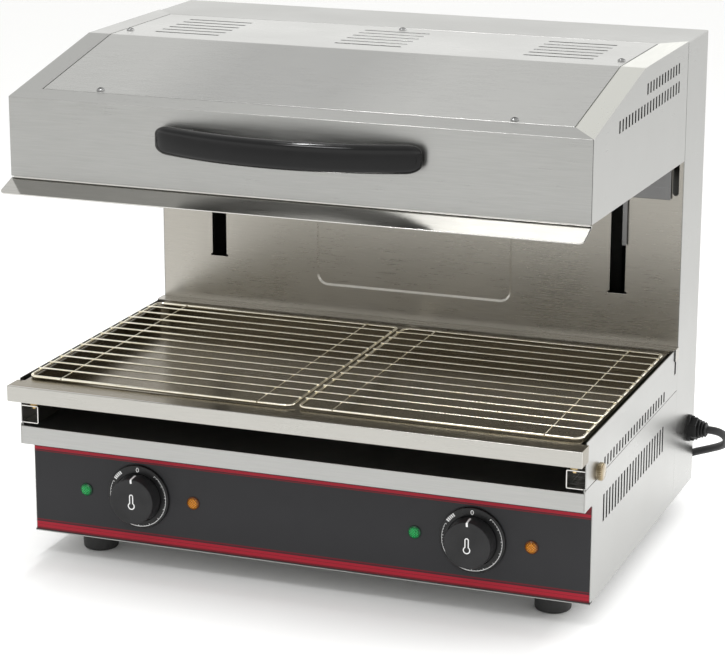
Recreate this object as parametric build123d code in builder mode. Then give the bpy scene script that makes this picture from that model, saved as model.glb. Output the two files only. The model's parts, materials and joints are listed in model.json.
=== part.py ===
from build123d import *
import os
from math import atan2, cos, degrees, pi, radians, sin, sqrt, tan

os.makedirs("parts", exist_ok=True)

# Lift salamander grill: a fixed base with a rear column, and a heated hood that slides
# down the column.  Millimetres, +Z up, front towards -Y, floor at z = 0.

# ---------------------------------------------------------------- driving dimensions
half_width = 300
sheet = 1.2
foot_height = 27

rear_y = 236.5            # outer face of the rear cover
column_y = 151.5          # front face of the column
column_top = 527

panel_y = -174.5          # face of the control fascia
apron_y = -201.5          # face of the deck's folded apron
apron_low = 130
deck_top = 149.5
seam_z = 152              # joint between lower casing and side rails
rail_top = 200

lip_y = -224              # front of the grill pan
lip_low = 181.5
rim_top = 198.2

hood_front = -203.5
hood_low = 411            # bottom edge of the hood at the front
hood_rear_low = 402       # bottom edge of the hood at the column
hood_edge = 491           # top of the front face, where the slope begins
hood_break = -23          # where the slope meets the flat roof
hood_top = 528
hood_rear = 150
roof_frame = 25           # width of the frame left round the inset cover

dial_x = 180
dial_z = 79
slot_x = 231              # centre of a column slot and of the guide rod behind it
rod_y = 195
rod_radius = 7
running_gap = 0.05

vent_width = 4.5
fold_radius = 0.9
fascia_thick = 0.8

grid_wire = 2
bar_wire = 1.1
cross_wire = 1.6
wire_sides = 8            # flats round the section of each wire, heater and cord
thin_sides = 6            # flats round a grid's thin wires
screw_head = 4
screw_shank = 2

inner = half_width - sheet
front_y = panel_y + fascia_thick          # front plate of the base, behind the fascia
slope = atan2(hood_top - hood_edge, hood_break - hood_front)
sides = {"left": -1, "right": 1}


def block(low, high, mode=Mode.ADD):
    """Straight-sided block between two opposite corners."""
    with Locations(tuple((a + b) / 2 for a, b in zip(low, high))):
        Box(*(abs(b - a) for a, b in zip(low, high)), mode=mode)


def wall_plane(y):
    """Upright plane facing the front, at depth y, with x to the right and z up."""
    return Plane.XZ.offset(-y)


def spaced(first, last, count):
    """Evenly spaced positions, both ends included."""
    return [first + (last - first) * i / (count - 1) for i in range(count)]


def vent_row(side, first, last, count, low, high):
    """Row of upright slots cut through a side wall."""
    with Locations(*[(side * half_width, y, (low + high) / 2) for y in spaced(first, last, count)]):
        Box(6 * sheet, vent_width, high - low, mode=Mode.SUBTRACT)


# ---------------------------------------------------------------- base casing
vent_first = -134
vent_last = 96
vent_count = 22
base_vents = (100, 128)
cheek_corner = 6          # rounded corner where a side wall meets the apron
foot_spots = [(x, y) for x in (-249, 249) for y in (-126.5, 190)]
bolt_radius = 4

with BuildPart() as base_shell:
    with BuildSketch(wall_plane(rear_y - sheet)):
        with Locations((0, (foot_height + seam_z) / 2)):
            Rectangle(2 * half_width, seam_z - foot_height)
        with Locations((0, (foot_height + sheet + seam_z) / 2)):
            Rectangle(2 * inner, seam_z - foot_height - sheet, mode=Mode.SUBTRACT)
    extrude(amount=rear_y - sheet - apron_y)
    fillet(base_shell.edges().filter_by(Axis.Y).group_by(Axis.Z)[0], fold_radius)
    with BuildSketch(Plane.YZ):
        with BuildLine():
            arc_start = (front_y, apron_low - cheek_corner)
            arc_end = (front_y - cheek_corner, apron_low)
            Polyline((apron_y, 0), (front_y, 0), arc_start)
            TangentArc(arc_start, arc_end, tangent=(0, 1))
            Polyline(arc_end, (apron_y, apron_low), (apron_y, 0))
        make_face()
    extrude(amount=half_width, both=True, mode=Mode.SUBTRACT)
    for side in sides.values():
        block(
            (side * inner, column_y, 0),
            (side * (half_width + 1), rear_y, seam_z + 1),
            Mode.SUBTRACT,
        )
        vent_row(side, vent_first, vent_last, vent_count, *base_vents)
    with Locations(*[(x, y, foot_height) for x, y in foot_spots]):
        Cylinder(bolt_radius, 6 * sheet, mode=Mode.SUBTRACT)
base_shell.part.label = "base_shell"
export_step(base_shell.part, "parts/base_shell.step")

lamp_hole = 6
neck_hole = 5.5
lamp_x = {"power": (-240, 119.5), "hot": (-119.5, 240)}
panel_holes = [(x, dial_z, lamp_hole) for pair in lamp_x.values() for x in pair]
panel_holes += [(s * dial_x, dial_z, neck_hole) for s in sides.values()]
sill_high = foot_height + 2.2             # the front plate's folded lower edge
sill_front = panel_y - 0.6

with BuildPart() as base_front:
    with BuildSketch(wall_plane(front_y + sheet)):
        with Locations((0, (foot_height + sheet + apron_low) / 2)):
            Rectangle(2 * inner, apron_low - foot_height - sheet)
        for x, z, radius in panel_holes:
            with Locations((x, z)):
                Circle(radius, mode=Mode.SUBTRACT)
    extrude(amount=sheet)
    block((-half_width, sill_front, foot_height), (half_width, front_y, sill_high))
base_front.part.label = "base_front"
export_step(base_front.part, "parts/base_front.step")

with BuildPart() as control_fascia:
    with BuildSketch(wall_plane(front_y)):
        with Locations((0, (sill_high + apron_low) / 2)):
            Rectangle(2 * inner, apron_low - sill_high)
        for x, z, radius in panel_holes:
            with Locations((x, z)):
                Circle(radius, mode=Mode.SUBTRACT)
    extrude(amount=fascia_thick)
control_fascia.part.label = "control_fascia"
export_step(control_fascia.part, "parts/control_fascia.step")

deck_return = panel_y - 0.1               # rear edge of the fold under the apron
side_play = 1.5

with BuildPart() as deck:
    with BuildSketch(Plane.YZ.offset(-inner)):
        with BuildLine():
            Polyline(
                (column_y, deck_top - sheet),
                (apron_y + sheet, deck_top - sheet),
                (apron_y + sheet, apron_low + sheet),
                (deck_return, apron_low + sheet),
                (deck_return, apron_low),
                (apron_y, apron_low),
                (apron_y, deck_top),
                (column_y, deck_top),
                close=True,
            )
        make_face()
    extrude(amount=2 * inner)
    fillet(deck.edges().filter_by(Axis.X).group_by(Axis.Y)[0], fold_radius)
    for side in sides.values():
        block(
            (side * (inner - side_play), apron_y + 2 * sheet, deck_top - 2 * sheet),
            (side * half_width, column_y + 1, deck_top + 1),
            Mode.SUBTRACT,
        )
deck.part.label = "deck"
export_step(deck.part, "parts/deck.step")

# ---------------------------------------------------------------- side rails and runners
rail_front = -199.5
rail_foot = seam_z + 0.6                  # lower edge of a rail's outer face
rail_tongue = seam_z - 14                 # the rail's inner tongue reaches down to here
rail_vents = (155, 166)
tab_slot = (138, 144, 173, rail_top - 6)  # front, rear, low and high edges of the slot
runner_front = -200
runner_x = 280
runner_low = 152.5
runner_top = 171.5
ledge_front = 132
ledge_fold = 10
tab_rear = 150.5
tab_length = 14
tab_drop = 12
peg_y = -158
peg_z = 159
peg_radius = 9
peg_length = 6
runner_screw_x = 287
runner_screw_y = (-194, 110)

for name, side in sides.items():
    with BuildPart() as side_rail:
        with BuildSketch(wall_plane(column_y)):
            with BuildLine():
                Polyline(
                    (side * half_width, rail_foot),
                    (side * half_width, rail_top),
                    (side * inner, rail_top),
                    (side * inner, rail_foot + sheet),
                    (side * (inner - sheet), rail_foot + sheet),
                    (side * (inner - sheet), rail_tongue),
                    (side * inner, rail_tongue),
                    (side * inner, rail_foot),
                    close=True,
                )
            make_face()
        extrude(amount=column_y - rail_front)
        vent_row(side, vent_first, vent_last, vent_count, *rail_vents)
        block(
            (side * (inner - 1), tab_slot[0], tab_slot[2]),
            (side * (half_width + 1), tab_slot[1], tab_slot[3]),
            Mode.SUBTRACT,
        )
    side_rail.part.label = f"side_rail_{name}"
    export_step(side_rail.part, f"parts/side_rail_{name}.step")

    with BuildPart() as runner:
        with BuildSketch(wall_plane(column_y - 4)):
            with BuildLine():
                Polyline(
                    (side * inner, runner_top),
                    (side * (runner_x + 1), runner_top),
                    (side * runner_x, runner_top - 1),
                    (side * runner_x, runner_low + 1),
                    (side * (runner_x + 1), runner_low),
                    (side * (inner - sheet - 0.2), runner_low),
                    (side * (inner - sheet - 0.2), runner_low + sheet),
                    (side * (runner_x + sheet), runner_low + sheet),
                    (side * (runner_x + sheet), runner_top - sheet),
                    (side * inner, runner_top - sheet),
                    close=True,
                )
            make_face()
        extrude(amount=column_y - 4 - runner_front)
        with Locations(*[(side * runner_screw_x, y, runner_top) for y in runner_screw_y]):
            Cylinder(screw_shank + 0.2, 6, mode=Mode.SUBTRACT)
    runner.part.label = f"runner_{name}"
    export_step(runner.part, f"parts/runner_{name}.step")

with BuildPart() as screw_form:
    with BuildSketch(Plane.XY.offset(-5)):
        RegularPolygon(screw_shank, thin_sides)
    extrude(amount=5)
    with BuildSketch():
        RegularPolygon(screw_head, 2 * thin_sides)
    extrude(amount=2.4, taper=25)
screw = screw_form.part

with BuildPart() as runner_screws:
    spots = [(s * runner_screw_x, y, runner_top) for s in sides.values() for y in runner_screw_y]
    with Locations(*spots):
        add(screw)
runner_screws.part.label = "runner_screws"
export_step(runner_screws.part, "parts/runner_screws.step")

with BuildPart() as side_pegs:
    for side in sides.values():
        with BuildSketch(Plane.YZ.offset(side * half_width)):
            with Locations((peg_y, peg_z)):
                Circle(peg_radius)
        extrude(amount=side * peg_length)
    chamfer(side_pegs.edges().filter_by(GeomType.CIRCLE).group_by(Axis.X)[0], 1)
    chamfer(side_pegs.edges().filter_by(GeomType.CIRCLE).group_by(Axis.X)[-1], 1)
side_pegs.part.label = "side_pegs"
export_step(side_pegs.part, "parts/side_pegs.step")

with BuildPart() as rear_ledge:
    with BuildSketch(Plane.YZ.offset(-half_width)):
        with BuildLine():
            Polyline(
                (column_y, rail_top + sheet),
                (ledge_front, rail_top + sheet),
                (ledge_front, rail_top - ledge_fold),
                (ledge_front + sheet, rail_top - ledge_fold),
                (ledge_front + sheet, rail_top),
                (column_y, rail_top),
                close=True,
            )
        make_face()
    extrude(amount=2 * half_width)
    for side in sides.values():
        block(
            (side * (half_width + 0.02), tab_rear - tab_length, rail_top - tab_drop),
            (side * (half_width + sheet), tab_rear, rail_top + sheet),
        )
        block(
            (side * (half_width - 1), tab_rear - tab_length, rail_top),
            (side * (half_width + 0.5), tab_rear, rail_top + sheet),
        )
        block(
            (side * inner, ledge_front - 1, rail_top - ledge_fold - 1),
            (side * half_width, ledge_front + 2 * sheet, rail_top),
            Mode.SUBTRACT,
        )
rear_ledge.part.label = "rear_ledge"
export_step(rear_ledge.part, "parts/rear_ledge.step")

# ---------------------------------------------------------------- column
slot_width = 17
slot_low = 253
slot_high = 482
wiring_slot = (291.2, 422, 6.5, 116)      # x, z, width and height
recess = (226, 249, 1.2)                  # width, height and depth of the pressed panel
recess_corner = 13
recess_slope = 62                         # degrees between the depth and the panel's slanted edge
recess_z = 355.5
wire_hole = (130, 80, 18)                 # x, z and radius
rod_hole_z = (54, 509)
flange_depth = 14

with BuildPart() as column_front:
    with BuildSketch(wall_plane(column_y + sheet)):
        with Locations((0, (foot_height + sheet + column_top - sheet) / 2)):
            Rectangle(2 * inner, column_top - foot_height - 2 * sheet)
        for side in sides.values():
            with Locations((side * slot_x, (slot_low + slot_high) / 2)):
                Rectangle(slot_width, slot_high - slot_low, mode=Mode.SUBTRACT)
            with Locations((side * slot_x, slot_low + 1.2)):
                Rectangle(slot_width + 4, 2.4, mode=Mode.SUBTRACT)
        with Locations(wiring_slot[:2]):
            SlotOverall(wiring_slot[3], wiring_slot[2], rotation=90, mode=Mode.SUBTRACT)
        with Locations(wire_hole[:2]):
            Circle(wire_hole[2], mode=Mode.SUBTRACT)
    extrude(amount=sheet)
    for side in sides.values():
        block(
            (side * (inner - sheet), column_y + sheet, foot_height + sheet),
            (side * inner, column_y + flange_depth, column_top - sheet),
        )
    rear_plane = Plane((0, column_y + sheet, recess_z), x_dir=(1, 0, 0), z_dir=(0, 1, 0))
    with BuildSketch(rear_plane):
        RectangleRounded(recess[0] + 1, recess[1] + 1, recess_corner)
    extrude(amount=recess[2], taper=recess_slope)
    with BuildSketch(Plane((0, column_y, recess_z), x_dir=(1, 0, 0), z_dir=(0, 1, 0))):
        RectangleRounded(recess[0], recess[1], recess_corner)
    extrude(amount=recess[2], taper=recess_slope, mode=Mode.SUBTRACT)
column_front.part.label = "column_front"
export_step(column_front.part, "parts/column_front.step")

gland_y = 211
gland_z = 93
gland_hole = 8
cover_gap = 0.4

with BuildPart() as column_shell:
    with BuildSketch(wall_plane(rear_y)):
        with Locations((0, (foot_height + column_top) / 2)):
            Rectangle(2 * half_width, column_top - foot_height)
        with Locations((0, (foot_height + column_top - sheet) / 2)):
            Rectangle(2 * inner, column_top - foot_height - sheet, mode=Mode.SUBTRACT)
    extrude(amount=rear_y - column_y)
    fillet(column_shell.edges().filter_by(Axis.Y).group_by(Axis.Z)[-1], fold_radius)
    with BuildSketch(Plane.YZ.offset(half_width + 1)):
        with Locations((gland_y, gland_z)):
            Circle(gland_hole)
    extrude(amount=-4 * sheet, mode=Mode.SUBTRACT)
column_shell.part.label = "column_shell"
export_step(column_shell.part, "parts/column_shell.step")

cover_low = foot_height + 2 * sheet
cover_high = column_top - sheet - cover_gap
cover_half = inner - cover_gap
cover_screw_spots = [(x, z) for x in (-288, 288) for z in (46, 276, 508)]
rear_vent_x = spaced(-230, -70, 11) + spaced(70, 230, 11)
rear_vent = (4, 22)
rear_vent_z = 480

with BuildPart() as rear_cover:
    with BuildSketch(wall_plane(rear_y)):
        with Locations((0, (cover_low + cover_high) / 2)):
            Rectangle(2 * cover_half, cover_high - cover_low)
        with Locations(*[(x, rear_vent_z) for x in rear_vent_x]):
            Rectangle(*rear_vent, mode=Mode.SUBTRACT)
        with Locations(*cover_screw_spots):
            Circle(screw_shank, mode=Mode.SUBTRACT)
    extrude(amount=sheet)
rear_cover.part.label = "rear_cover"
export_step(rear_cover.part, "parts/rear_cover.step")

with BuildPart() as rear_cover_screws:
    with BuildSketch(wall_plane(rear_y)):
        with Locations(*cover_screw_spots):
            RegularPolygon(screw_shank, thin_sides)
    extrude(amount=7)
    with BuildSketch(wall_plane(rear_y + 1)):
        with Locations(*cover_screw_spots):
            RegularPolygon(screw_head, 2 * thin_sides)
    extrude(amount=1)
rear_cover_screws.part.label = "rear_cover_screws"
export_step(rear_cover_screws.part, "parts/rear_cover_screws.step")

# ---------------------------------------------------------------- lift guides in the column
carriage_low = 362
carriage_high = 476
carriage_front = 178
carriage_rear = 212
carriage_half = 18
holder_rear = 209
spring_x = 257.5
spring_radius = 6.5
spring_top = 500
ear_top = 368

for name, side in sides.items():
    with BuildPart() as guide_rod:
        with BuildSketch(Plane.XY.offset(rod_hole_z[0] - 9)):
            with Locations((side * slot_x, rod_y)):
                Circle(rod_radius)
        extrude(amount=rod_hole_z[1] - rod_hole_z[0] + 18)
        chamfer(guide_rod.edges().filter_by(GeomType.CIRCLE), 0.8)
    guide_rod.part.label = f"guide_rod_{name}"
    export_step(guide_rod.part, f"parts/guide_rod_{name}.step")

    with BuildPart() as rod_holders:
        for z in rod_hole_z:
            block(
                (side * (slot_x - carriage_half), column_y + sheet, z - 9),
                (side * (slot_x + carriage_half), holder_rear, z + 9),
            )
        block(
            (side * (slot_x + carriage_half), rod_y - 9, spring_top),
            (side * (spring_x + 9), rod_y + 9, spring_top + 6),
        )
        with Locations(*[(side * slot_x, rod_y, z) for z in rod_hole_z]):
            Cylinder(rod_radius, 20, mode=Mode.SUBTRACT)
        fillet(rod_holders.edges().filter_by(Axis.Z).group_by(Axis.Y)[-1], 4)
    rod_holders.part.label = f"rod_holders_{name}"
    export_step(rod_holders.part, f"parts/rod_holders_{name}.step")

    with BuildPart() as lift_spring:
        with Locations((side * spring_x, rod_y, (ear_top + spring_top) / 2)):
            Cylinder(spring_radius, spring_top - ear_top)
            Cylinder(spring_radius - 1.6, spring_top - ear_top, mode=Mode.SUBTRACT)
    lift_spring.part.label = f"lift_spring_{name}"
    export_step(lift_spring.part, f"parts/lift_spring_{name}.step")

    with BuildPart() as carriage:
        block(
            (side * (slot_x - carriage_half), carriage_front, carriage_low),
            (side * (slot_x + carriage_half), carriage_rear, carriage_high),
        )
        fillet(carriage.edges().filter_by(Axis.Z).group_by(Axis.Y)[-1], 6)
        block(
            (side * (slot_x + carriage_half - 1), rod_y - 8, carriage_low),
            (side * (spring_x + 8), rod_y + 8, ear_top),
        )
        with Locations((side * slot_x, rod_y, (carriage_low + carriage_high) / 2)):
            Cylinder(rod_radius + running_gap, 2 * (carriage_high - carriage_low), mode=Mode.SUBTRACT)
    carriage.part.label = f"carriage_{name}"
    export_step(carriage.part, f"parts/carriage_{name}.step")

# ---------------------------------------------------------------- hood casing
opening_x = half_width - roof_frame
opening_front = hood_front + roof_frame
opening_rear = hood_rear - roof_frame
cover_play = 1.2
hood_screw_spots = [(-214, -171.5), (214, -171.5), (-267, 8.5), (267, 8.5), (0, 114)]
louvre_rows = spaced(9, 97, 6)
louvre_x = (-202, 0, 202)
louvre = (72, 4)
roof_vents = (-12.5, 112.5, 12, 500, 511)       # first and last y, count, low and high z
wall_vents = (-114, 114, 21, 480, 492)


def roof_height(y, depth=0):
    """Height of the hood's roof at y, measured to a surface sunk below it by depth."""
    rise = hood_edge + (y - hood_front) * tan(slope) - depth / cos(slope)
    return min(rise, hood_top - depth)


def roof_band(y0, y1, upper, lower):
    """Side outline of a sheet that follows the roof from y0 to y1, between two depths."""
    def row(depth):
        fold = hood_break + depth * tan(slope / 2)
        points = [(y0, roof_height(y0, depth))]
        if y0 < fold < y1:
            points.append((fold, hood_top - depth))
        return points + [(y1, roof_height(y1, depth))]

    return row(upper) + row(lower)[::-1]


hood_screw_places = [
    Location((x, y, roof_height(y)), (degrees(slope) if y < hood_break else 0, 0, 0))
    for x, y in hood_screw_spots
]

with BuildPart() as hood_shell:
    with BuildSketch(Plane.YZ.offset(-half_width)):
        with BuildLine():
            Polyline(
                (hood_front, hood_low),
                (hood_front, hood_edge),
                (hood_break, hood_top),
                (hood_rear, hood_top),
                (hood_rear, hood_rear_low),
                close=True,
            )
        make_face()
    extrude(amount=2 * half_width)
    fillet(hood_shell.edges().filter_by(Axis.Z).group_by(Axis.Y)[0], 2)
    hollow = hood_shell.faces().sort_by(Axis.Z)[:1] + hood_shell.faces().sort_by(Axis.Y)[-1:]
    offset(amount=-sheet, openings=hollow)
    block(
        (-opening_x, opening_front, hood_edge - 40),
        (opening_x, opening_rear, hood_top + 10),
        Mode.SUBTRACT,
    )
    ledge_outer = opening_x + 10
    ledge_inner = opening_x - 14
    for y0, y1 in (
        (opening_front - 10, opening_front + 15),
        (opening_rear - 19, opening_rear + 10),
    ):
        with BuildSketch(Plane.YZ.offset(-ledge_outer)):
            Polygon(*roof_band(y0, y1, sheet, 2 * sheet), align=None)
        extrude(amount=2 * ledge_outer)
    for x0 in (-ledge_outer, ledge_inner):
        with BuildSketch(Plane.YZ.offset(x0)):
            Polygon(*roof_band(opening_front + 14, opening_rear - 18, sheet, 2 * sheet), align=None)
        extrude(amount=ledge_outer - ledge_inner)
    for side in sides.values():
        vent_row(side, *roof_vents)
        vent_row(side, *wall_vents)
    with Locations(*hood_screw_places):
        Cylinder(screw_shank + 0.2, 12, mode=Mode.SUBTRACT)
hood_shell.part.label = "hood_shell"
export_step(hood_shell.part, "parts/hood_shell.step")

with BuildPart() as hood_cover:
    with BuildSketch(Plane.YZ.offset(-opening_x + cover_play)):
        Polygon(*roof_band(opening_front + cover_play, opening_rear - cover_play, 0, sheet), align=None)
    extrude(amount=2 * (opening_x - cover_play))
    with BuildSketch(Plane.XY.offset(hood_top + 1)):
        with Locations(*[(x, y) for x in louvre_x for y in louvre_rows]):
            Rectangle(*louvre)
    extrude(amount=-10, mode=Mode.SUBTRACT)
    with Locations(*hood_screw_places):
        Cylinder(screw_shank + 0.2, 12, mode=Mode.SUBTRACT)
hood_cover.part.label = "hood_cover"
export_step(hood_cover.part, "parts/hood_cover.step")

with BuildPart() as hood_cover_screws:
    with Locations(*hood_screw_places):
        add(screw)
hood_cover_screws.part.label = "hood_cover_screws"
export_step(hood_cover_screws.part, "parts/hood_cover_screws.step")

back_front = 148.4
back_rear = 149.6
arm_front = 147.2
web_inner = 234
web_outer = 236
arm_outer = 287
arm_low = 360
arm_high = carriage_high + 4
tail_outer = 241
tail_low = 307
lug_inner = 218

with BuildPart() as hood_back:
    with BuildSketch(wall_plane(back_rear)):
        with Locations((0, (hood_rear_low + sheet + hood_top - sheet) / 2)):
            Rectangle(2 * inner, hood_top - hood_rear_low - 2 * sheet)
        for side in sides.values():
            with Locations((side * (web_inner + web_outer) / 2, carriage_high - 37)):
                Rectangle(4, 80, mode=Mode.SUBTRACT)
    extrude(amount=back_rear - back_front)
hood_back.part.label = "hood_back"
export_step(hood_back.part, "parts/hood_back.step")

for name, side in sides.items():
    with BuildPart() as lift_arm:
        block((side * web_inner, arm_front, arm_low), (side * arm_outer, back_front, arm_high))
        block((side * web_outer, arm_front, tail_low), (side * tail_outer, back_front, arm_low + 1))
        block(
            (side * web_inner, back_front - 0.1, carriage_low),
            (side * web_outer, carriage_front, carriage_high),
        )
        block(
            (side * lug_inner, carriage_front - 2, carriage_low),
            (side * web_outer, carriage_front, carriage_high),
        )
    lift_arm.part.label = f"lift_arm_{name}"
    export_step(lift_arm.part, f"parts/lift_arm_{name}.step")

# ---------------------------------------------------------------- heat deflector, reflector, heaters
deflector_tip = (-230, 399.5)
deflector_top = 440

with BuildPart() as deflector:
    with BuildSketch(Plane.YZ.offset(-half_width + 0.5)):
        with BuildLine():
            Polyline(
                (hood_front + sheet, deflector_top),
                (hood_front + sheet, hood_low - 1.6),
                deflector_tip,
                (deflector_tip[0] + 0.45, deflector_tip[1] - sheet),
                (hood_front + 2 * sheet, hood_low - 3.2),
                (hood_front + 2 * sheet, deflector_top),
                close=True,
            )
        make_face()
    extrude(amount=2 * half_width - 1)
    for side in sides.values():
        block(
            (side * half_width, hood_front, hood_low - 1.2),
            (side * (inner - side_play), hood_front + 8, deflector_top + 10),
            Mode.SUBTRACT,
        )
    tips = deflector.edges().filter_by(lambda e: e.length < 2).group_by(Axis.Y)[0]
    fillet(tips, 6)
deflector.part.label = "deflector"
export_step(deflector.part, "parts/deflector.step")

reflector_low = 426
reflector_high = 458
reflector_size = (572, 320)
reflector_y = -30
heater_z = 440
heater_radius = 4
heater_bend = 28
heater_first = 40
heater_front = -130
heater_rear = 85
heater_end = 147
hanger_rows = (-90, 60)
hanger_half = 5

with BuildPart() as reflector:
    with BuildSketch(Plane.XY.offset(reflector_low)):
        with Locations((0, reflector_y)):
            Rectangle(*reflector_size)
    extrude(amount=reflector_high - reflector_low, taper=18)
    offset(amount=-1, openings=reflector.faces().sort_by(Axis.Z)[0])
    with BuildSketch(wall_plane(heater_end - 2)):
        for side in sides.values():
            for column in (0, 3):
                with Locations((side * (heater_first + 2 * heater_bend * column), heater_z)):
                    Circle(heater_radius + 1)
    extrude(amount=60, mode=Mode.SUBTRACT)
reflector.part.label = "reflector"
export_step(reflector.part, "parts/reflector.step")

for name, side in sides.items():
    with BuildPart() as heater:
        x = [side * (heater_first + 2 * heater_bend * column) for column in range(4)]
        with BuildLine(Plane.XY.offset(heater_z)) as route:
            Line((x[0], heater_end), (x[0], heater_front))
            ThreePointArc(
                (x[0], heater_front),
                ((x[0] + x[1]) / 2, heater_front - heater_bend),
                (x[1], heater_front),
            )
            Line((x[1], heater_front), (x[1], heater_rear))
            ThreePointArc(
                (x[1], heater_rear),
                ((x[1] + x[2]) / 2, heater_rear + heater_bend),
                (x[2], heater_rear),
            )
            Line((x[2], heater_rear), (x[2], heater_front))
            ThreePointArc(
                (x[2], heater_front),
                ((x[2] + x[3]) / 2, heater_front - heater_bend),
                (x[3], heater_front),
            )
            Line((x[3], heater_front), (x[3], heater_end))
        with BuildSketch(Plane((x[0], heater_end, heater_z), z_dir=(0, -1, 0))):
            RegularPolygon(heater_radius, wire_sides)
        sweep()
    heater.part.label = f"heater_{name}"
    export_step(heater.part, f"parts/heater_{name}.step")

with BuildPart() as heater_hangers:
    for side in sides.values():
        for y in hanger_rows:
            block(
                (side * (heater_first - 10), y - hanger_half, heater_z + heater_radius),
                (
                    side * (heater_first + 6 * heater_bend + 10),
                    y + hanger_half,
                    heater_z + heater_radius + 1.5,
                ),
            )
            for column in (0, 3):
                spot = side * (heater_first + 2 * heater_bend * column)
                block(
                    (spot - 2, y - hanger_half, heater_z + heater_radius + 1),
                    (spot + 2, y + hanger_half, reflector_high - 1),
                )
heater_hangers.part.label = "heater_hangers"
export_step(heater_hangers.part, "parts/heater_hangers.step")

# ---------------------------------------------------------------- handle
handle_z = 461.5
handle_half = 136
handle_apex = -239        # centre line of the bow at its middle and at its ends
handle_end = -209.3
handle_thick = 13
handle_tall = 28
handle_bevel = 4
handle_foot_x = 119
handle_foot = (26, 20)

with BuildPart() as handle:
    bow_ends = [(-handle_half, handle_end), (handle_half, handle_end)]
    with BuildLine(Plane.XY.offset(handle_z)) as bow:
        ThreePointArc(bow_ends[0], (0, handle_apex), bow_ends[1])
    with BuildSketch(Plane(bow.line @ 0, x_dir=(0, 0, 1), z_dir=bow.line % 0)) as handle_section:
        Rectangle(handle_tall, handle_thick)
        chamfer(handle_section.vertices(), handle_bevel)
    sweep()
    for end_face in (handle.faces().sort_by(Axis.X)[0], handle.faces().sort_by(Axis.X)[-1]):
        chamfer(end_face.edges(), 2)
    for side in sides.values():
        with BuildSketch(wall_plane(hood_front)):
            with Locations((side * handle_foot_x, handle_z)):
                SlotOverall(*handle_foot)
        extrude(amount=hood_front - handle_end + 8, taper=4)
handle.part.label = "handle"
export_step(handle.part, "parts/handle.step")

# ---------------------------------------------------------------- dials, thermostats and lamps
bezel_radius = 34
bezel_depth = 3.5
knob_radius = 25
knob_depth = 19
knob_wall = 2.5
boss_radius = 8
shaft_grip = 12           # length of shaft inside the knob
pointer = (1, 9, 21)      # half width, and reach from the centre, of the knob's raised rib
thermostat_size = (42, 26, 34)
knob_back = panel_y - bezel_depth - 0.3
shaft_radius = 3
thermostat_front = front_y + sheet
shaft_rear = thermostat_front + 22

for name, side in sides.items():
    dial = (side * dial_x, dial_z)

    with BuildPart() as dial_bezel:
        with BuildSketch(wall_plane(panel_y)):
            with Locations(dial):
                Circle(bezel_radius)
        extrude(amount=bezel_depth)
        fillet(dial_bezel.edges().group_by(Axis.Y)[0], 1.5)
        with BuildSketch(wall_plane(panel_y)):
            with Locations(dial):
                Circle(neck_hole + 1)
        extrude(amount=bezel_depth, mode=Mode.SUBTRACT)
    dial_bezel.part.label = f"dial_bezel_{name}"
    export_step(dial_bezel.part, f"parts/dial_bezel_{name}.step")

    with BuildPart() as knob:
        with BuildSketch(wall_plane(knob_back)):
            with Locations(dial):
                Circle(knob_radius)
        extrude(amount=knob_depth, taper=3)
        fillet(knob.edges().group_by(Axis.Y)[0], 1.6)
        with BuildSketch(wall_plane(knob_back)):
            with Locations(dial):
                Circle(knob_radius - knob_wall)
                Circle(boss_radius, mode=Mode.SUBTRACT)
        extrude(amount=knob_depth - 4, mode=Mode.SUBTRACT)
        with BuildSketch(wall_plane(knob_back)):
            with Locations(dial):
                Circle(shaft_radius)
        extrude(amount=shaft_grip, mode=Mode.SUBTRACT)
        block(
            (dial[0] - pointer[0], knob_back - knob_depth + 2, dial_z + pointer[1]),
            (dial[0] + pointer[0], knob_back - knob_depth - 0.5, dial_z + pointer[2]),
        )
    knob.part.label = f"knob_{name}"
    export_step(knob.part, f"parts/knob_{name}.step")

    with BuildPart() as knob_shaft:
        with BuildSketch(wall_plane(shaft_rear)):
            with Locations(dial):
                Circle(shaft_radius)
        extrude(amount=shaft_rear - knob_back + shaft_grip)
    knob_shaft.part.label = f"knob_shaft_{name}"
    export_step(knob_shaft.part, f"parts/knob_shaft_{name}.step")

    with BuildPart() as thermostat:
        wide, deep, tall = thermostat_size
        block(
            (dial[0] - wide / 2, thermostat_front, dial_z - tall / 2),
            (dial[0] + wide / 2, thermostat_front + deep, dial_z + tall / 2),
        )
        fillet(thermostat.edges().filter_by(Axis.Y), 4)
        with BuildSketch(wall_plane(thermostat_front)):
            with Locations(dial):
                Circle(neck_hole - 0.2)
        extrude(amount=4.5)
        for tab in spaced(-12, 12, 4):
            block(
                (dial[0] + tab - 3, thermostat_front + deep - 1, dial_z - 9),
                (dial[0] + tab - 2.2, thermostat_front + deep + 8, dial_z - 3),
            )
        with BuildSketch(wall_plane(shaft_rear + 0.3)):
            with Locations(dial):
                Circle(shaft_radius + running_gap)
        extrude(amount=40, mode=Mode.SUBTRACT)
    thermostat.part.label = f"thermostat_{name}"
    export_step(thermostat.part, f"parts/thermostat_{name}.step")

lamp_body = lamp_hole - 0.2
lamp_length = 19.5
lamp_rim = 7
lamp_edge = 1.2
lamp_dome = 5

for kind, spots in lamp_x.items():
    with BuildPart() as lamps:
        for x in spots:
            with BuildSketch(Plane((x, panel_y, dial_z), x_dir=(1, 0, 0), z_dir=(0, 0, 1))):
                with BuildLine():
                    Polyline(
                        (0, lamp_length),
                        (lamp_body, lamp_length),
                        (lamp_body, 0),
                        (lamp_rim, 0),
                        (lamp_rim, -lamp_edge),
                    )
                    TangentArc((0, -lamp_dome), (lamp_rim, -lamp_edge), tangent=(1, 0))
                    Line((0, -lamp_dome), (0, lamp_length))
                make_face()
            revolve(axis=Axis((x, panel_y, dial_z), (0, 1, 0)))
    lamps.part.label = f"{kind}_lamps"
    export_step(lamps.part, f"parts/{kind}_lamps.step")

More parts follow.
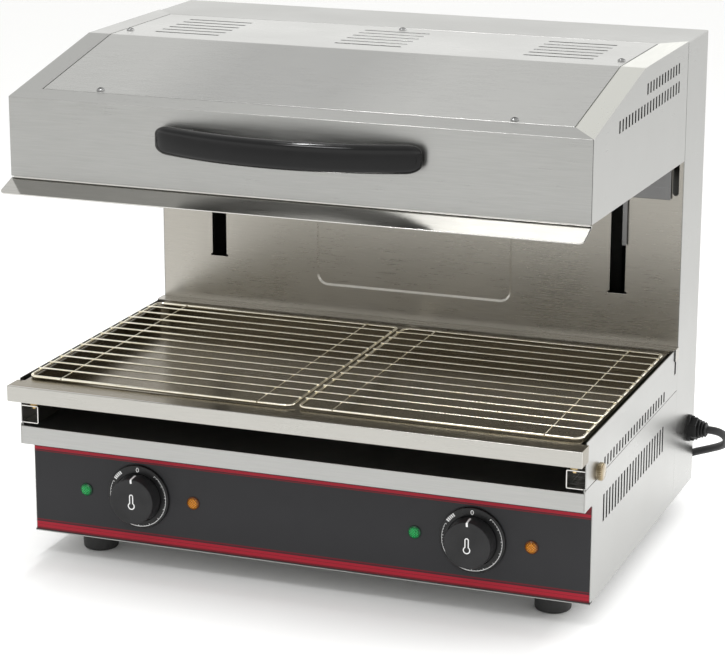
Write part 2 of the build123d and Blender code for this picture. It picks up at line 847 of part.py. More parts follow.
# ---------------------------------------------------------------- grill pan and grids
pan_x = 291
pan_front = -196
pan_rear = 122
pan_low = 175
rim_x = 293.8
rim_rear = 131.5
lip_x = 302
skirt_low = runner_top + 0.3
pan_corner = 12
lip_return = 9

with BuildPart() as grill_pan:
    with BuildSketch(Plane.XY.offset(rim_top)):
        with Locations((0, (lip_y + rim_rear) / 2)):
            Rectangle(2 * rim_x, rim_rear - lip_y)
    extrude(amount=-sheet)
    with BuildSketch(Plane.XY.offset(rim_top - sheet)):
        with Locations((0, (pan_front + pan_rear) / 2)):
            RectangleRounded(2 * pan_x, pan_rear - pan_front, pan_corner)
    extrude(amount=pan_low - rim_top + sheet)
    with BuildSketch(Plane.XY.offset(rim_top)):
        with Locations((0, (pan_front + pan_rear) / 2)):
            RectangleRounded(
                2 * (pan_x - sheet), pan_rear - pan_front - 2 * sheet, pan_corner - sheet
            )
    extrude(amount=pan_low + sheet - rim_top, mode=Mode.SUBTRACT)
    block((-lip_x, lip_y, lip_low), (lip_x, lip_y + sheet, rim_top))
    block((-lip_x, lip_y, lip_low), (lip_x, lip_y + lip_return, lip_low + sheet))
    block((-lip_x, lip_y, rim_top - sheet), (lip_x, rail_front - 1, rim_top))
    for side in sides.values():
        block(
            (side * (lip_x - sheet), lip_y, lip_low),
            (side * lip_x, rail_front - 1, rim_top),
        )
        block(
            (side * (rim_x - sheet), rail_front + 3, skirt_low),
            (side * rim_x, rim_rear, rim_top),
        )
    fillet(grill_pan.edges().filter_by(Axis.X).group_by(Axis.Y)[0], fold_radius)
grill_pan.part.label = "grill_pan"
export_step(grill_pan.part, "parts/grill_pan.step")

grid_z = rim_top + 0.3 + grid_wire
grid_inner = 4
grid_outer = 292
grid_front = -192.5
grid_rear = 116.8
bar_count = 12
grid_corner = 12
cross_x = (40, 256)
weld = 0.6                # how deep each wire sinks into the one that it is welded to

for name, side in sides.items():
    with BuildPart() as grid:
        corners = [
            (side * grid_inner, grid_front, grid_z),
            (side * grid_inner, grid_rear, grid_z),
            (side * grid_outer, grid_rear, grid_z),
            (side * grid_outer, grid_front, grid_z),
        ]
        with BuildLine() as frame_line:
            FilletPolyline(*corners, radius=grid_corner, close=True)
        with BuildSketch(Plane(frame_line.wire() @ 0, z_dir=frame_line.wire() % 0)):
            RegularPolygon(grid_wire, wire_sides)
        sweep()
        pitch = (grid_rear - grid_front) / (bar_count + 1)
        bar_z = grid_z + grid_wire + bar_wire - weld
        with BuildSketch(Plane.YZ.offset(side * (grid_inner - grid_wire))):
            with Locations(*[(grid_front + pitch * (i + 1), bar_z) for i in range(bar_count)]):
                RegularPolygon(bar_wire, thin_sides)
        extrude(amount=side * (grid_outer - grid_inner + 2 * grid_wire))
        with BuildSketch(wall_plane(grid_rear + grid_wire)):
            with Locations(*[(side * x, bar_z - bar_wire - cross_wire + weld) for x in cross_x]):
                RegularPolygon(cross_wire, thin_sides)
        extrude(amount=grid_rear - grid_front + 2 * grid_wire)
    grid.part.label = f"grid_{name}"
    export_step(grid.part, f"parts/grid_{name}.step")

# ---------------------------------------------------------------- feet
foot_radius = 18.5
collar_radius = 20
collar = 5
bolt_depth = 18           # how far each bolt goes into its foot
nut_radius = 7.5
nut_height = 6.5

with BuildPart() as feet:
    with BuildSketch():
        with Locations(*foot_spots):
            Circle(foot_radius)
    extrude(amount=foot_height - collar)
    with BuildSketch(Plane.XY.offset(foot_height - collar)):
        with Locations(*foot_spots):
            Circle(collar_radius)
    extrude(amount=collar)
    with BuildSketch(Plane.XY.offset(foot_height)):
        with Locations(*foot_spots):
            Circle(bolt_radius)
    extrude(amount=-bolt_depth, mode=Mode.SUBTRACT)
feet.part.label = "feet"
export_step(feet.part, "parts/feet.step")

with BuildPart() as foot_bolts:
    with BuildSketch(Plane.XY.offset(foot_height - bolt_depth)):
        with Locations(*foot_spots):
            RegularPolygon(bolt_radius, 2 * thin_sides)
    extrude(amount=bolt_depth + 2 * sheet + nut_height)
    with BuildSketch(Plane.XY.offset(foot_height + sheet)):
        with Locations(*foot_spots):
            RegularPolygon(nut_radius, 6)
    extrude(amount=nut_height)
foot_bolts.part.label = "foot_bolts"
export_step(foot_bolts.part, "parts/foot_bolts.step")

# ---------------------------------------------------------------- mains lead
cord_radius = 4.3
gland_flange = (30, 17, 8)                # height, width and thickness
gland_nut = 13
gland_locknut = 12
gland_end = half_width + 22

with BuildPart() as cable_gland:
    gland_plane = Plane.YZ.offset(half_width)
    with BuildSketch(gland_plane):
        with Locations((gland_y, gland_z)):
            SlotOverall(gland_flange[0], gland_flange[1], rotation=90)
    extrude(amount=gland_flange[2])
    with BuildSketch(gland_plane.offset(gland_flange[2])):
        with Locations((gland_y, gland_z)):
            Circle(gland_nut)
    extrude(amount=gland_end - half_width - gland_flange[2], taper=6)
    with BuildSketch(gland_plane.offset(-sheet)):
        with Locations((gland_y, gland_z)):
            Circle(gland_hole)
    extrude(amount=sheet)
    with BuildSketch(gland_plane.offset(-sheet)):
        with Locations((gland_y, gland_z)):
            RegularPolygon(gland_locknut, 6)
    extrude(amount=-5)
cable_gland.part.label = "cable_gland"
export_step(cable_gland.part, "parts/cable_gland.step")

terminal_floor = foot_height + sheet
terminal_x = (150, 210)
terminal_step = 16        # height of the block's wide foot, below its row of clamps
terminal_height = 24

with BuildPart() as terminal_block:
    block(
        (terminal_x[0], gland_y - 15, terminal_floor),
        (terminal_x[1], gland_y + 15, terminal_floor + terminal_step),
    )
    block(
        (terminal_x[0], gland_y - 8, terminal_floor + terminal_step - 1),
        (terminal_x[1], gland_y + 8, terminal_floor + terminal_height),
    )
    clamps = spaced(terminal_x[0] + 6, terminal_x[1] - 6, 5)
    with Locations(*[(x, gland_y, terminal_floor + terminal_height) for x in clamps]):
        Cylinder(3, 12, mode=Mode.SUBTRACT)
terminal_block.part.label = "terminal_block"
export_step(terminal_block.part, "parts/terminal_block.step")


def bend_radii(points):
    """Largest easy radius at each corner: 0.45 of the shorter run over tan(half the turn)."""
    radii = []
    for before, corner, after in zip(points, points[1:], points[2:]):
        run_in = Vector(*corner) - Vector(*before)
        run_out = Vector(*after) - Vector(*corner)
        half_turn = radians(run_in.get_angle(run_out)) / 2
        radii.append(0.45 * min(run_in.length, run_out.length) / tan(half_turn))
    return radii


coil_centre = (130, 345)
coil_outer = 59.5
coil_step = 5.5                           # how much nearer the centre each half turn ends
coil_layers = (cord_radius, 3 * cord_radius + 0.9)
half_turns_in = 4
coil_tail = 10

lead_end = (coil_centre[0] + coil_outer, coil_centre[1] - coil_tail, cord_radius)
lead_points = [
    (gland_end, gland_y, gland_z),
    (gland_end + 10, gland_y, gland_z),
    (gland_end + 18, 216.5, 87),
    (gland_end + 19, 226, 77.5),
    (gland_end + 11, 238, 68),
    (316, 249, 59),
    (293, 256.5, 49.5),
    (269, 262, 36.5),
    (246, 267.5, 23),
    (224.5, 276.5, 11.5),
    (205.5, 290, cord_radius),
    (193.5, 306, cord_radius),
    (lead_end[0], 321, cord_radius),
    lead_end,
]
lead_radii = bend_radii(lead_points)

with BuildPart() as cord_lead:
    with BuildLine() as lead_path:
        FilletPolyline(*lead_points, radius=lead_radii)
    with BuildSketch(Plane(lead_points[0], z_dir=(1, 0, 0))):
        RegularPolygon(cord_radius, wire_sides)
    sweep()
cord_lead.part.label = "cord_lead"
export_step(cord_lead.part, "parts/cord_lead.step")
lead_length = lead_path.wire().length
lead_section = wire_sides / 2 * cord_radius ** 2 * sin(2 * pi / wire_sides)
print("lead radii", [round(radius, 1) for radius in lead_radii])
print("lead length", round(lead_length, 1))
print("lead volume over section times length", cord_lead.part.volume / (lead_section * lead_length))

with BuildPart() as cord_coil:
    with BuildLine() as coil_path:
        cx, cy = coil_centre
        low, high = coil_layers
        reach = coil_outer
        east = 1
        Line((cx + reach, cy - coil_tail, low), (cx + reach, cy, low))
        for height, shrink in ((low, coil_step), (high, -coil_step)):
            for turn in range(half_turns_in):
                start = (cx + east * reach, cy, height)
                reach -= shrink
                end = (cx - east * reach, cy, height)
                TangentArc(start, end, tangent=(0, east, 0))
                east = -east
            if height == low:
                start = (cx + east * reach, cy, low)
                end = (cx - east * reach, cy, high)
                bulge = sqrt(reach ** 2 + (high - low) ** 2 / 4)
                middle = (cx, cy + east * bulge, (low + high) / 2)
                TangentArc(start, middle, tangent=(0, east, 0))
                TangentArc(end, middle, tangent=(0, east, 0))
                east = -east
        Line((cx + east * reach, cy, high), (cx + east * reach, cy - coil_tail, high))
    with BuildSketch(Plane(lead_end, z_dir=(0, 1, 0))):
        RegularPolygon(cord_radius, wire_sides)
    sweep()
cord_coil.part.label = "cord_coil"
export_step(cord_coil.part, "parts/cord_coil.step")


def least_gap(wire, radius, steps=900):
    """Smallest clear space between two stretches of a tube that lie well apart along it."""
    points = [wire @ (i / steps) for i in range(steps + 1)]
    apart = int(10 * radius / wire.length * steps) + 1
    nearest = min(
        (points[i] - points[j]).length
        for i in range(steps + 1)
        for j in range(i + apart, steps + 1)
    )
    return nearest - 2 * radius


print("coil length", round(coil_path.wire().length, 1))
print("coil least gap", round(least_gap(coil_path.wire(), cord_radius), 2))

plug_x = coil_centre[0] - coil_outer
plug_z = coil_layers[1]
plug_neck_rear = coil_centre[1] - coil_tail
plug_body_rear = plug_neck_rear - 30
plug_face = plug_body_rear - 36
plug_wide = 37
pin_radius = 2.4
pin_half_pitch = 9.5
pin_length = 19

with BuildPart() as plug:
    with BuildSketch(Plane.YZ.offset(plug_x)):
        with BuildLine():
            Polyline(
                (plug_neck_rear, plug_z),
                (plug_neck_rear, plug_z + cord_radius + 0.5),
                (plug_body_rear, plug_z + 9),
                (plug_body_rear, plug_z),
                close=True,
            )
        make_face()
    revolve(axis=Axis((plug_x, plug_neck_rear, plug_z), (0, -1, 0)))
    with BuildSketch(wall_plane(plug_body_rear)):
        with Locations((plug_x, plug_z)):
            RectangleRounded(plug_wide, 2 * plug_z, 12)
    extrude(amount=plug_body_rear - plug_face)
    rear_edges = plug.edges().filter_by(
        lambda e: abs(e.center().Y - plug_body_rear) < 0.1 and e.length < 40
    )
    fillet(rear_edges, 4)
    with BuildSketch(wall_plane(plug_face)):
        with Locations(*[(plug_x + side * pin_half_pitch, plug_z) for side in sides.values()]):
            Circle(pin_radius)
    extrude(amount=pin_length)
plug.part.label = "plug"
export_step(plug.part, "parts/plug.step")
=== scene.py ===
import bmesh
import bpy
import json
from math import asin, atan2, cos, pi, radians, sin, tan
from mathutils import Matrix, Vector

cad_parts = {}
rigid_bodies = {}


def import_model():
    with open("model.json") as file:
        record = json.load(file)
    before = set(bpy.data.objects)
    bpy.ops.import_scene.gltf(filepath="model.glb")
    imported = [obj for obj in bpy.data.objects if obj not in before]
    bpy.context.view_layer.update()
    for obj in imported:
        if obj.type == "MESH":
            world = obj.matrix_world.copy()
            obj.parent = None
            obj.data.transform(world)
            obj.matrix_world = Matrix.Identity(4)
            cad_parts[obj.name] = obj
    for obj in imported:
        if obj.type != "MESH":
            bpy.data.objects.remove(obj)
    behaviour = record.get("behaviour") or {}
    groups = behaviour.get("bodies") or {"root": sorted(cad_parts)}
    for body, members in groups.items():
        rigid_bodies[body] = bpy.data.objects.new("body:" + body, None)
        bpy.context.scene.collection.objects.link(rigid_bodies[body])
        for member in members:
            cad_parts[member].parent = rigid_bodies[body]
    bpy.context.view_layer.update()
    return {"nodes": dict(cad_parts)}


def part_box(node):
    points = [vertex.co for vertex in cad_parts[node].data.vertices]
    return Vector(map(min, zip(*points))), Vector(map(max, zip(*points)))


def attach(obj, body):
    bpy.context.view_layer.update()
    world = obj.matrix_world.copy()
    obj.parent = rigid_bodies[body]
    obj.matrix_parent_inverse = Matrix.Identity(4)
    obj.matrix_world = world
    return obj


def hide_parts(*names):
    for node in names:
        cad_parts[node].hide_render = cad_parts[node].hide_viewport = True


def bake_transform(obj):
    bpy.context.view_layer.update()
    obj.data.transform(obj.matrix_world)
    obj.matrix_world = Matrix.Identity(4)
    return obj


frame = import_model()
nodes = frame["nodes"]

# -------- viewpoint
# The grill is seen from its front right corner, a little from above, with a long lens.
photographer = Vector((0.9224, -2.4507, 0.9562))
look_down = radians(15.65)
look_left = radians(20.66)
camera_roll = radians(0.12)

camera = bpy.data.objects.new("viewpoint", bpy.data.cameras.new("viewpoint"))
camera.data.lens = 128.9
camera.data.sensor_width = 36
camera.data.clip_start = 0.1
camera.data.clip_end = 60
aim = Matrix.Rotation(look_left, 4, "Z") @ Matrix.Rotation(pi / 2 - look_down, 4, "X")
camera.matrix_world = Matrix.Translation(photographer) @ aim @ Matrix.Rotation(camera_roll, 4, "Z")
scene_objects = bpy.context.scene.collection.objects
scene_objects.link(camera)
bpy.context.scene.camera = camera

# -------- mains lead
# Three-core rubber flex, 8.6 mm thick.  It leaves the column through a gland, drops to the
# floor behind the grill and is wound there into a flat two-layer coil that ends in the plug.
cord_radius = 0.0043
gland_end = 0.322
gland_y = 0.211
gland_z = 0.093
coil_centre = (0.130, 0.345)
coil_outer = 0.0595
coil_step = 0.0055
coil_layers = (cord_radius, 3 * cord_radius + 0.0009)
half_turns_in = 4
coil_tail = 0.010
steps_per_half = 8


def add_node(tree, kind, values=(), **settings):
    """One shader node.  values pairs an input's name or number with a value or a feeding socket."""
    made = tree.nodes.new("ShaderNode" + kind)
    for key, setting in settings.items():
        setattr(made, key, setting)
    for key, value in dict(values).items():
        if isinstance(value, bpy.types.NodeSocket):
            tree.links.new(value, made.inputs[key])
        else:
            made.inputs[key].default_value = value
    return made


def maths(tree, operation, first, second=0.0):
    """Output of one arithmetic node."""
    return add_node(tree, "Math", {0: first, 1: second}, operation=operation).outputs[0]


def remap(tree, value, low, high, to_low=0.0, to_high=1.0):
    """Output of a Map Range node that holds its ends."""
    values = {0: value, 1: low, 2: high, 3: to_low, 4: to_high}
    return add_node(tree, "MapRange", values).outputs[0]


def new_group(name, inputs, outputs):
    """Empty node group with number inputs, and outputs that are all numbers."""
    group = bpy.data.node_groups.new(name, "ShaderNodeTree")
    for label, value in inputs.items():
        socket = group.interface.new_socket(label, in_out="INPUT", socket_type="NodeSocketFloat")
        socket.default_value = value
    for label in outputs:
        group.interface.new_socket(label, in_out="OUTPUT", socket_type="NodeSocketFloat")
    return group, group.nodes.new("NodeGroupInput"), group.nodes.new("NodeGroupOutput")


def use_group(tree, group, values=()):
    """Places a node group in a material with its own values."""
    made = add_node(tree, "Group")
    made.node_tree = group
    for key, value in dict(values).items():
        made.inputs[key].default_value = value
    return made.outputs


def new_finish(name, **values):
    """Material with one Principled shader.  Underscores in the names stand for spaces."""
    material = bpy.data.materials.new(name)
    material.use_nodes = True
    shader = material.node_tree.nodes["Principled BSDF"]
    for key, value in values.items():
        shader.inputs[key.replace("_", " ")].default_value = value
    return material, material.node_tree, shader


def feed(tree, shader, **sockets):
    """Links sockets into the shader's inputs."""
    for key, socket in sockets.items():
        tree.links.new(socket, shader.inputs[key.replace("_", " ")])


def emboss(tree, shader, height, strength, distance):
    """Bump from a height."""
    values = {"Height": height, "Strength": strength, "Distance": distance}
    feed(tree, shader, Normal=add_node(tree, "Bump", values).outputs[0])


def blend_colours(tree, mask, first, second):
    """Colour that goes from first to second with the mask."""
    mix = add_node(tree, "Mix", {0: mask, 6: first, 7: second}, data_type="RGBA")
    return mix.outputs[2]


stipple, entry, exit_ = new_group("moulded_stipple", {"Fineness": 1800.0}, ("Height", "Tone"))
place = add_node(stipple, "TexCoord").outputs["Object"]
fine = add_node(stipple, "TexNoise", {"Vector": place, "Detail": 3.0, "Roughness": 0.6})
stipple.links.new(entry.outputs["Fineness"], fine.inputs["Scale"])
handled = add_node(stipple, "TexNoise", {"Vector": place, "Scale": 45.0, "Detail": 4.0})
stipple.links.new(fine.outputs[0], exit_.inputs["Height"])
stipple.links.new(handled.outputs[0], exit_.inputs["Tone"])


def stippled(name, first, second, roughness, spread, fineness, relief, depth, **values):
    """Material with fine stipple, and a colour and gloss that vary in patches."""
    material, tree, shader = new_finish(name, **values)
    speck = use_group(tree, stipple, {"Fineness": fineness})
    feed(
        tree,
        shader,
        Base_Color=blend_colours(tree, remap(tree, speck["Tone"], 0.3, 0.7), first, second),
        Roughness=remap(tree, speck["Tone"], 0.3, 0.7, roughness - spread, roughness + spread),
    )
    emboss(tree, shader, speck["Height"], relief, depth)
    return material


def moulded(name, colour, roughness, fineness=1800.0, relief=0.15, **values):
    """Moulded rubber or plastic."""
    dark, light = (tuple(share * c for c in colour[:3]) + (1,) for share in (0.75, 1.25))
    return stippled(name, dark, light, roughness, 0.05, fineness, relief, 0.0001, **values)


def coil_points():
    """Points of the coil, a loop of half turns that spiral in, climb and spiral out again."""
    points = []
    reach = coil_outer
    east = 1
    swell = 1 / cos(pi / steps_per_half / 2)
    low, high = coil_layers
    turns = [(low, low, coil_step)] * half_turns_in + [(low, high, 0)]
    turns += [(high, high, -coil_step)] * half_turns_in
    for start_z, end_z, shrink in turns:
        radius = reach - shrink / 2
        middle = coil_centre[0] + east * shrink / 2
        for step in range(steps_per_half):
            angle = pi * (step + 0.5) / steps_per_half
            points.append((
                middle + east * radius * swell * cos(angle),
                coil_centre[1] + east * radius * swell * sin(angle),
                start_z + (end_z - start_z) * (step + 0.5) / steps_per_half,
            ))
        reach -= shrink
        east = -east
    return points


lead_end_x = coil_centre[0] + coil_outer
plug_x = coil_centre[0] - coil_outer
plug_neck_rear = coil_centre[1] - coil_tail
lead_points = [
    (gland_end, gland_y, gland_z),
    (0.332, 0.211, 0.093),
    (0.340, 0.2165, 0.087),
    (0.341, 0.226, 0.0775),
    (0.333, 0.238, 0.068),
    (0.316, 0.249, 0.059),
    (0.293, 0.2565, 0.0495),
    (0.269, 0.262, 0.0365),
    (0.246, 0.2675, 0.023),
    (0.2245, 0.2765, 0.0115),
    (0.2055, 0.290, cord_radius),
    (0.1935, 0.306, cord_radius),
    (lead_end_x, 0.321, cord_radius),
    (lead_end_x, plug_neck_rear, cord_radius),
]
cord_points = lead_points + coil_points() + [(plug_x, plug_neck_rear, coil_layers[1])]

lead_line = bpy.data.curves.new("mains_lead", "CURVE")
lead_line.dimensions = "3D"
lead_line.bevel_depth = cord_radius
lead_line.bevel_resolution = 6
lead_line.resolution_u = 8
spline = lead_line.splines.new("NURBS")
spline.points.add(len(cord_points) - 1)
for point, spot in zip(spline.points, cord_points):
    point.co = (*spot, 1)
spline.order_u = 3
spline.use_endpoint_u = True
mains_lead = bpy.data.objects.new("mains_lead", lead_line)
scene_objects.link(mains_lead)
rubber = moulded("cord_rubber", (0.020, 0.020, 0.021), 0.55, fineness=900.0, relief=0.2)
lead_line.materials.append(rubber)
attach(mains_lead, "root")
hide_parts("cord_lead", "cord_coil")

# -------- cable gland and plug
# The gland is a moulded clamp that is nutted through the column's side wall, with a ribbed
# tapered sleeve over the lead.  The moulded plug has finger grooves and two plated pins.
wall_x = 0.3
gland_turns = 40
plug_rear = plug_neck_rear - 0.030
plug_face = plug_rear - 0.036


def skin(name, shells, crease):
    """Mesh over one or more shells.  Each is a row of rings of equal length, open or looped."""
    made = bmesh.new()
    for rings, looped in shells:
        rows = [[made.verts.new(spot) for spot in ring] for ring in rings]
        pairs = list(zip(rows, rows[1:]))
        if looped:
            pairs.append((rows[-1], rows[0]))
        else:
            made.faces.new(rows[0][::-1])
            made.faces.new(rows[-1])
        for first, second in pairs:
            for i in range(len(first)):
                j = (i + 1) % len(first)
                made.faces.new((first[i], first[j], second[j], second[i]))
    bmesh.ops.recalc_face_normals(made, faces=made.faces)
    mesh = bpy.data.meshes.new(name)
    made.to_mesh(mesh)
    made.free()
    mesh.shade_smooth()
    mesh.set_sharp_from_angle(angle=radians(crease))
    return mesh


def add_piece(name, shape, finish, body, replaced=(), crease=35):
    """Puts shells or a mesh on a body, with a finish, in place of the nodes replaced."""
    mesh = shape if isinstance(shape, bpy.types.Mesh) else skin(name, shape, crease)
    piece = bpy.data.objects.new(name, mesh)
    scene_objects.link(piece)
    mesh.materials.append(finish)
    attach(piece, body)
    if replaced:
        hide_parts(*replaced)
    return piece


def rounded_box(wide, tall, radius, corner_steps=6):
    """Outline of a rectangle with round corners, as pairs about its centre."""
    outline = []
    for quarter in range(4):
        right = 1 if quarter in (0, 3) else -1
        up = 1 if quarter in (0, 1) else -1
        for step in range(corner_steps + 1):
            angle = pi / 2 * (quarter + step / corner_steps)
            outline.append((
                right * (wide / 2 - radius) + radius * cos(angle),
                up * (tall / 2 - radius) + radius * sin(angle),
            ))
    return outline


def turned(profile, origin, axis, count=48):
    """Shell turned about an axis.  The profile pairs a distance along it with a radius."""
    turn = Vector((0, 0, 1)).rotation_difference(Vector(axis)).to_matrix()
    rings = []
    for along, radius in profile:
        ring = []
        for i in range(count):
            angle = 2 * pi * i / count
            ring.append(Vector(origin) + turn @ Vector((radius * cos(angle), radius * sin(angle), along)))
        rings.append(ring)
    return rings, False


def rounded_edge(along, radius, size, steps=4):
    """Profile points of a round outer edge that ends a cylinder at a distance along it."""
    points = []
    for step in range(steps + 1):
        angle = pi / 2 * step / steps
        points.append((along - size + size * sin(angle), radius - size + size * cos(angle)))
    return points


gland_origin = (wall_x, gland_y, gland_z)
plate = [(gland_y + a, gland_z + b) for a, b in rounded_box(0.017, 0.030, 0.0084)]
plate_rings = [[(wall_x + x, y, z) for y, z in plate] for x in (0.0, 0.003)]
plate_rings.append([
    (wall_x + 0.0036, gland_y + 0.93 * (y - gland_y), gland_z + 0.96 * (z - gland_z)) for y, z in plate
])
nut_profile = [(0.003, 0.0125), (0.0035, 0.0129), (0.0105, 0.0129), (0.011, 0.0122)]
nut = turned(nut_profile, gland_origin, (1, 0, 0), 6)
sleeve_profile = [(0.010, 0.0105), (0.0118, 0.0108)]
for rib in range(3):
    start = 0.0122 + rib * 0.0031
    wide = 0.0104 - rib * 0.0011
    sleeve_profile += [(start, wide - 0.0012), (start + 0.0008, wide), (start + 0.0020, wide - 0.0002)]
    sleeve_profile += [(start + 0.0026, wide - 0.0014)]
sleeve_profile += [(0.0216, 0.0060), (0.022, 0.0050)]
sleeve = turned(sleeve_profile, gland_origin, (1, 0, 0), gland_turns)
spigot_profile = [(-0.0060, 0.0105), (-0.0012, 0.0105), (-0.0011, 0.0078), (0.001, 0.0078)]
spigot = turned(spigot_profile, gland_origin, (1, 0, 0))
clamp_bosses = [
    turned(
        [(0.0, 0.0026), (0.0055, 0.0026)] + rounded_edge(0.0062, 0.0026, 0.0006),
        (wall_x + 0.001, gland_y, gland_z + side * 0.0118),
        (1, 0, 0),
        20,
    )
    for side in (-1, 1)
]
gland = add_piece(
    "cord_gland",
    [(plate_rings, False), nut, sleeve, spigot] + clamp_bosses,
    moulded("gland_plastic", (0.008, 0.008, 0.0085, 1), 0.45, Specular_IOR_Level=0.3),
    "root",
    ["cable_gland"],
)

plug_z = coil_layers[1]
plug_sections = [
    # distance behind the plug's face, width, height, corner radius
    (0.0659, 0.0096, 0.0096, 0.0047),
    (0.0600, 0.0112, 0.0112, 0.0055),
    (0.0520, 0.0128, 0.0128, 0.0063),
    (0.0440, 0.0146, 0.0142, 0.0070),
    (0.0385, 0.0176, 0.0164, 0.0080),
    (0.0355, 0.0262, 0.0214, 0.0092),
    (0.0330, 0.0328, 0.0254, 0.0098),
    (0.0290, 0.0350, 0.0266, 0.0102),
    (0.0240, 0.0330, 0.0262, 0.0102),
    (0.0190, 0.0330, 0.0262, 0.0102),
    (0.0140, 0.0352, 0.0268, 0.0104),
    (0.0070, 0.0368, 0.0274, 0.0106),
    (0.0006, 0.0368, 0.0274, 0.0106),
    (0.0000, 0.0358, 0.0266, 0.0102),
]
plug_rings = [
    [(plug_x + a, plug_face + back, plug_z + b) for a, b in rounded_box(wide, tall, corner)]
    for back, wide, tall, corner in plug_sections
]
collar_pitch = 0.006
plug_collars = []
for ring in range(3):
    wide = 0.0070 + 0.0006 * ring
    collar = [(0.0, 0.0050), (0.0006, wide), (0.0022, wide), (0.0028, 0.0050)]
    seat = (plug_x, plug_neck_rear - 0.007 - collar_pitch * ring, plug_z)
    plug_collars.append(turned(collar, seat, (0, 1, 0), 32))
plug_shells = [(plug_rings, False)] + plug_collars
plug_body = add_piece("plug_body", plug_shells, rubber, "root", ["plug"])
pin_sections = [(0.0, 0.0024), (-0.0088, 0.0024), (-0.0092, 0.0021), (-0.0182, 0.0021), (-0.0190, 0.0014)]
plug_pins = [
    turned(pin_sections, (plug_x + side * 0.0095, plug_face, plug_z), (0, 1, 0), 24)
    for side in (-1, 1)
]
plated, tree, shader = new_finish("plated_pin", Metallic=1.0)
wear_and_painted_tone = use_group(tree, stipple, {"Fineness": 600.0})
feed(
    tree,
    shader,
    Base_Color=blend_colours(tree, wear_and_painted_tone["Tone"], (0.55, 0.50, 0.40, 1), (0.80, 0.76, 0.68, 1)),
    Roughness=remap(tree, wear_and_painted_tone["Tone"], 0.3, 0.7, 0.18, 0.30),
)
pins = add_piece("plug_pins", plug_pins, plated, "root")

# -------- floor and studio light
# White paper sweep under a pale sky and three soft boxes.  The paper glows a little in a
# ring round the grill and at its right, which brightens the steel that mirrors it.
paper_half, paper_drop = 20, 0.0005
base_half_x, base_half_y = 0.28, 0.17
ring_glow, flank_glow = 0.30, 0.34


def split_xyz(tree, vector):
    """X, Y and Z of a vector."""
    return add_node(tree, "SeparateXYZ", {0: vector}).outputs


def object_xyz(tree):
    """X, Y and Z of the shaded point in the object's own frame."""
    return split_xyz(tree, add_node(tree, "TexCoord").outputs["Object"])


def product(tree, first, *others):
    """Product of sockets and numbers."""
    for other in others:
        first = maths(tree, "MULTIPLY", first, other)
    return first


def distance_past(tree, along, half):
    """Distance beyond a half width, and nought within it."""
    return maths(tree, "MAXIMUM", maths(tree, "SUBTRACT", maths(tree, "ABSOLUTE", along), half), 0.0)


floor_mesh = bpy.data.meshes.new("floor")
sheet = bmesh.new()
bmesh.ops.create_grid(sheet, x_segments=1, y_segments=1, size=paper_half)
sheet.to_mesh(floor_mesh)
sheet.free()
floor = bpy.data.objects.new("floor", floor_mesh)
floor.location.z = -paper_drop
scene_objects.link(floor)
white_paper, tree, shader = new_finish(
    "white_paper", Base_Color=(0.92, 0.92, 0.92, 1), Roughness=0.9, Emission_Strength=1.0
)
east, north = object_xyz(tree)[:2]
beside = distance_past(tree, east, base_half_x)
ahead = distance_past(tree, north, base_half_y)
squares = (maths(tree, "POWER", side, 2) for side in (beside, ahead))
away = maths(tree, "SQRT", maths(tree, "ADD", *squares))
ring = product(
    tree, remap(tree, away, 0.0, 0.16, 0.0, ring_glow), remap(tree, away, 0.5, 1.1, 1.0, 0.2)
)
flank = product(
    tree, remap(tree, east, 0.26, 0.31, 0.0, flank_glow), remap(tree, away, 0.15, 0.45, 1.0, 0.0)
)
glow = maths(tree, "ADD", ring, flank)
grey = add_node(tree, "CombineXYZ", {0: glow, 1: glow, 2: glow}).outputs[0]
feed(tree, shader, Emission_Color=grey)
floor_mesh.materials.append(white_paper)

world = bpy.data.worlds.new("studio")
bpy.context.scene.world = world
world.use_nodes = True
tree = world.node_tree
sky = tree.nodes["Background"]
direction = add_node(tree, "TexCoord").outputs["Generated"]
brightness = remap(tree, split_xyz(tree, direction)["Z"], 0.22, 0.50, 1.30, 0.76)
for toward, inner, outer, strength in (
    # direction, degrees of full glow about it, degrees where the glow ends, strength
    ((-0.34, 0.90, 0.25), 12, 45, 0.09),
    ((0.45, 0.85, 0.15), 12, 45, 0.07),
    ((-0.40, -0.90, 0.15), 20, 60, 0.06),
    ((1.0, -0.10, 0.20), 15, 50, 0.34),
    ((0.0, 0.10, 1.0), 15, 55, 0.18),
):
    values = {0: direction, 1: Vector(toward).normalized()}
    facing = add_node(tree, "VectorMath", values, operation="DOT_PRODUCT").outputs["Value"]
    values = {0: facing, 1: cos(radians(outer)), 2: cos(radians(inner)), 3: 0.0, 4: strength}
    glow = add_node(tree, "MapRange", values, interpolation_type="SMOOTHSTEP").outputs[0]
    brightness = maths(tree, "ADD", brightness, glow)
tree.links.new(brightness, sky.inputs["Strength"])
sky.inputs["Color"].default_value = (1, 1, 0.985, 1)


def soft_box(name, place, target, width, height, watts):
    """Large rectangular lamp that faces a point."""
    lamp = bpy.data.lights.new(name, "AREA")
    lamp.shape = "RECTANGLE"
    lamp.size = width
    lamp.size_y = height
    lamp.energy = watts
    box = bpy.data.objects.new(name, lamp)
    box.location = place
    box.rotation_euler = (Vector(target) - Vector(place)).to_track_quat("-Z", "Y").to_euler()
    scene_objects.link(box)


soft_box("ceiling_lamp", (-0.5, -0.08, 2.2), (-0.45, -0.08, 0.2), 0.7, 0.08, 9)
soft_box("front_lamp", (-0.28, -1.35, 1.98), (0.2, -0.2, 0.44), 0.64, 0.36, 8)
soft_box("key_box", (2.2, 1.3, 1.0), (0.3, 0.1, 0.2), 1.0, 1.4, 13.5)
bpy.context.scene.view_settings.view_transform = "Standard"

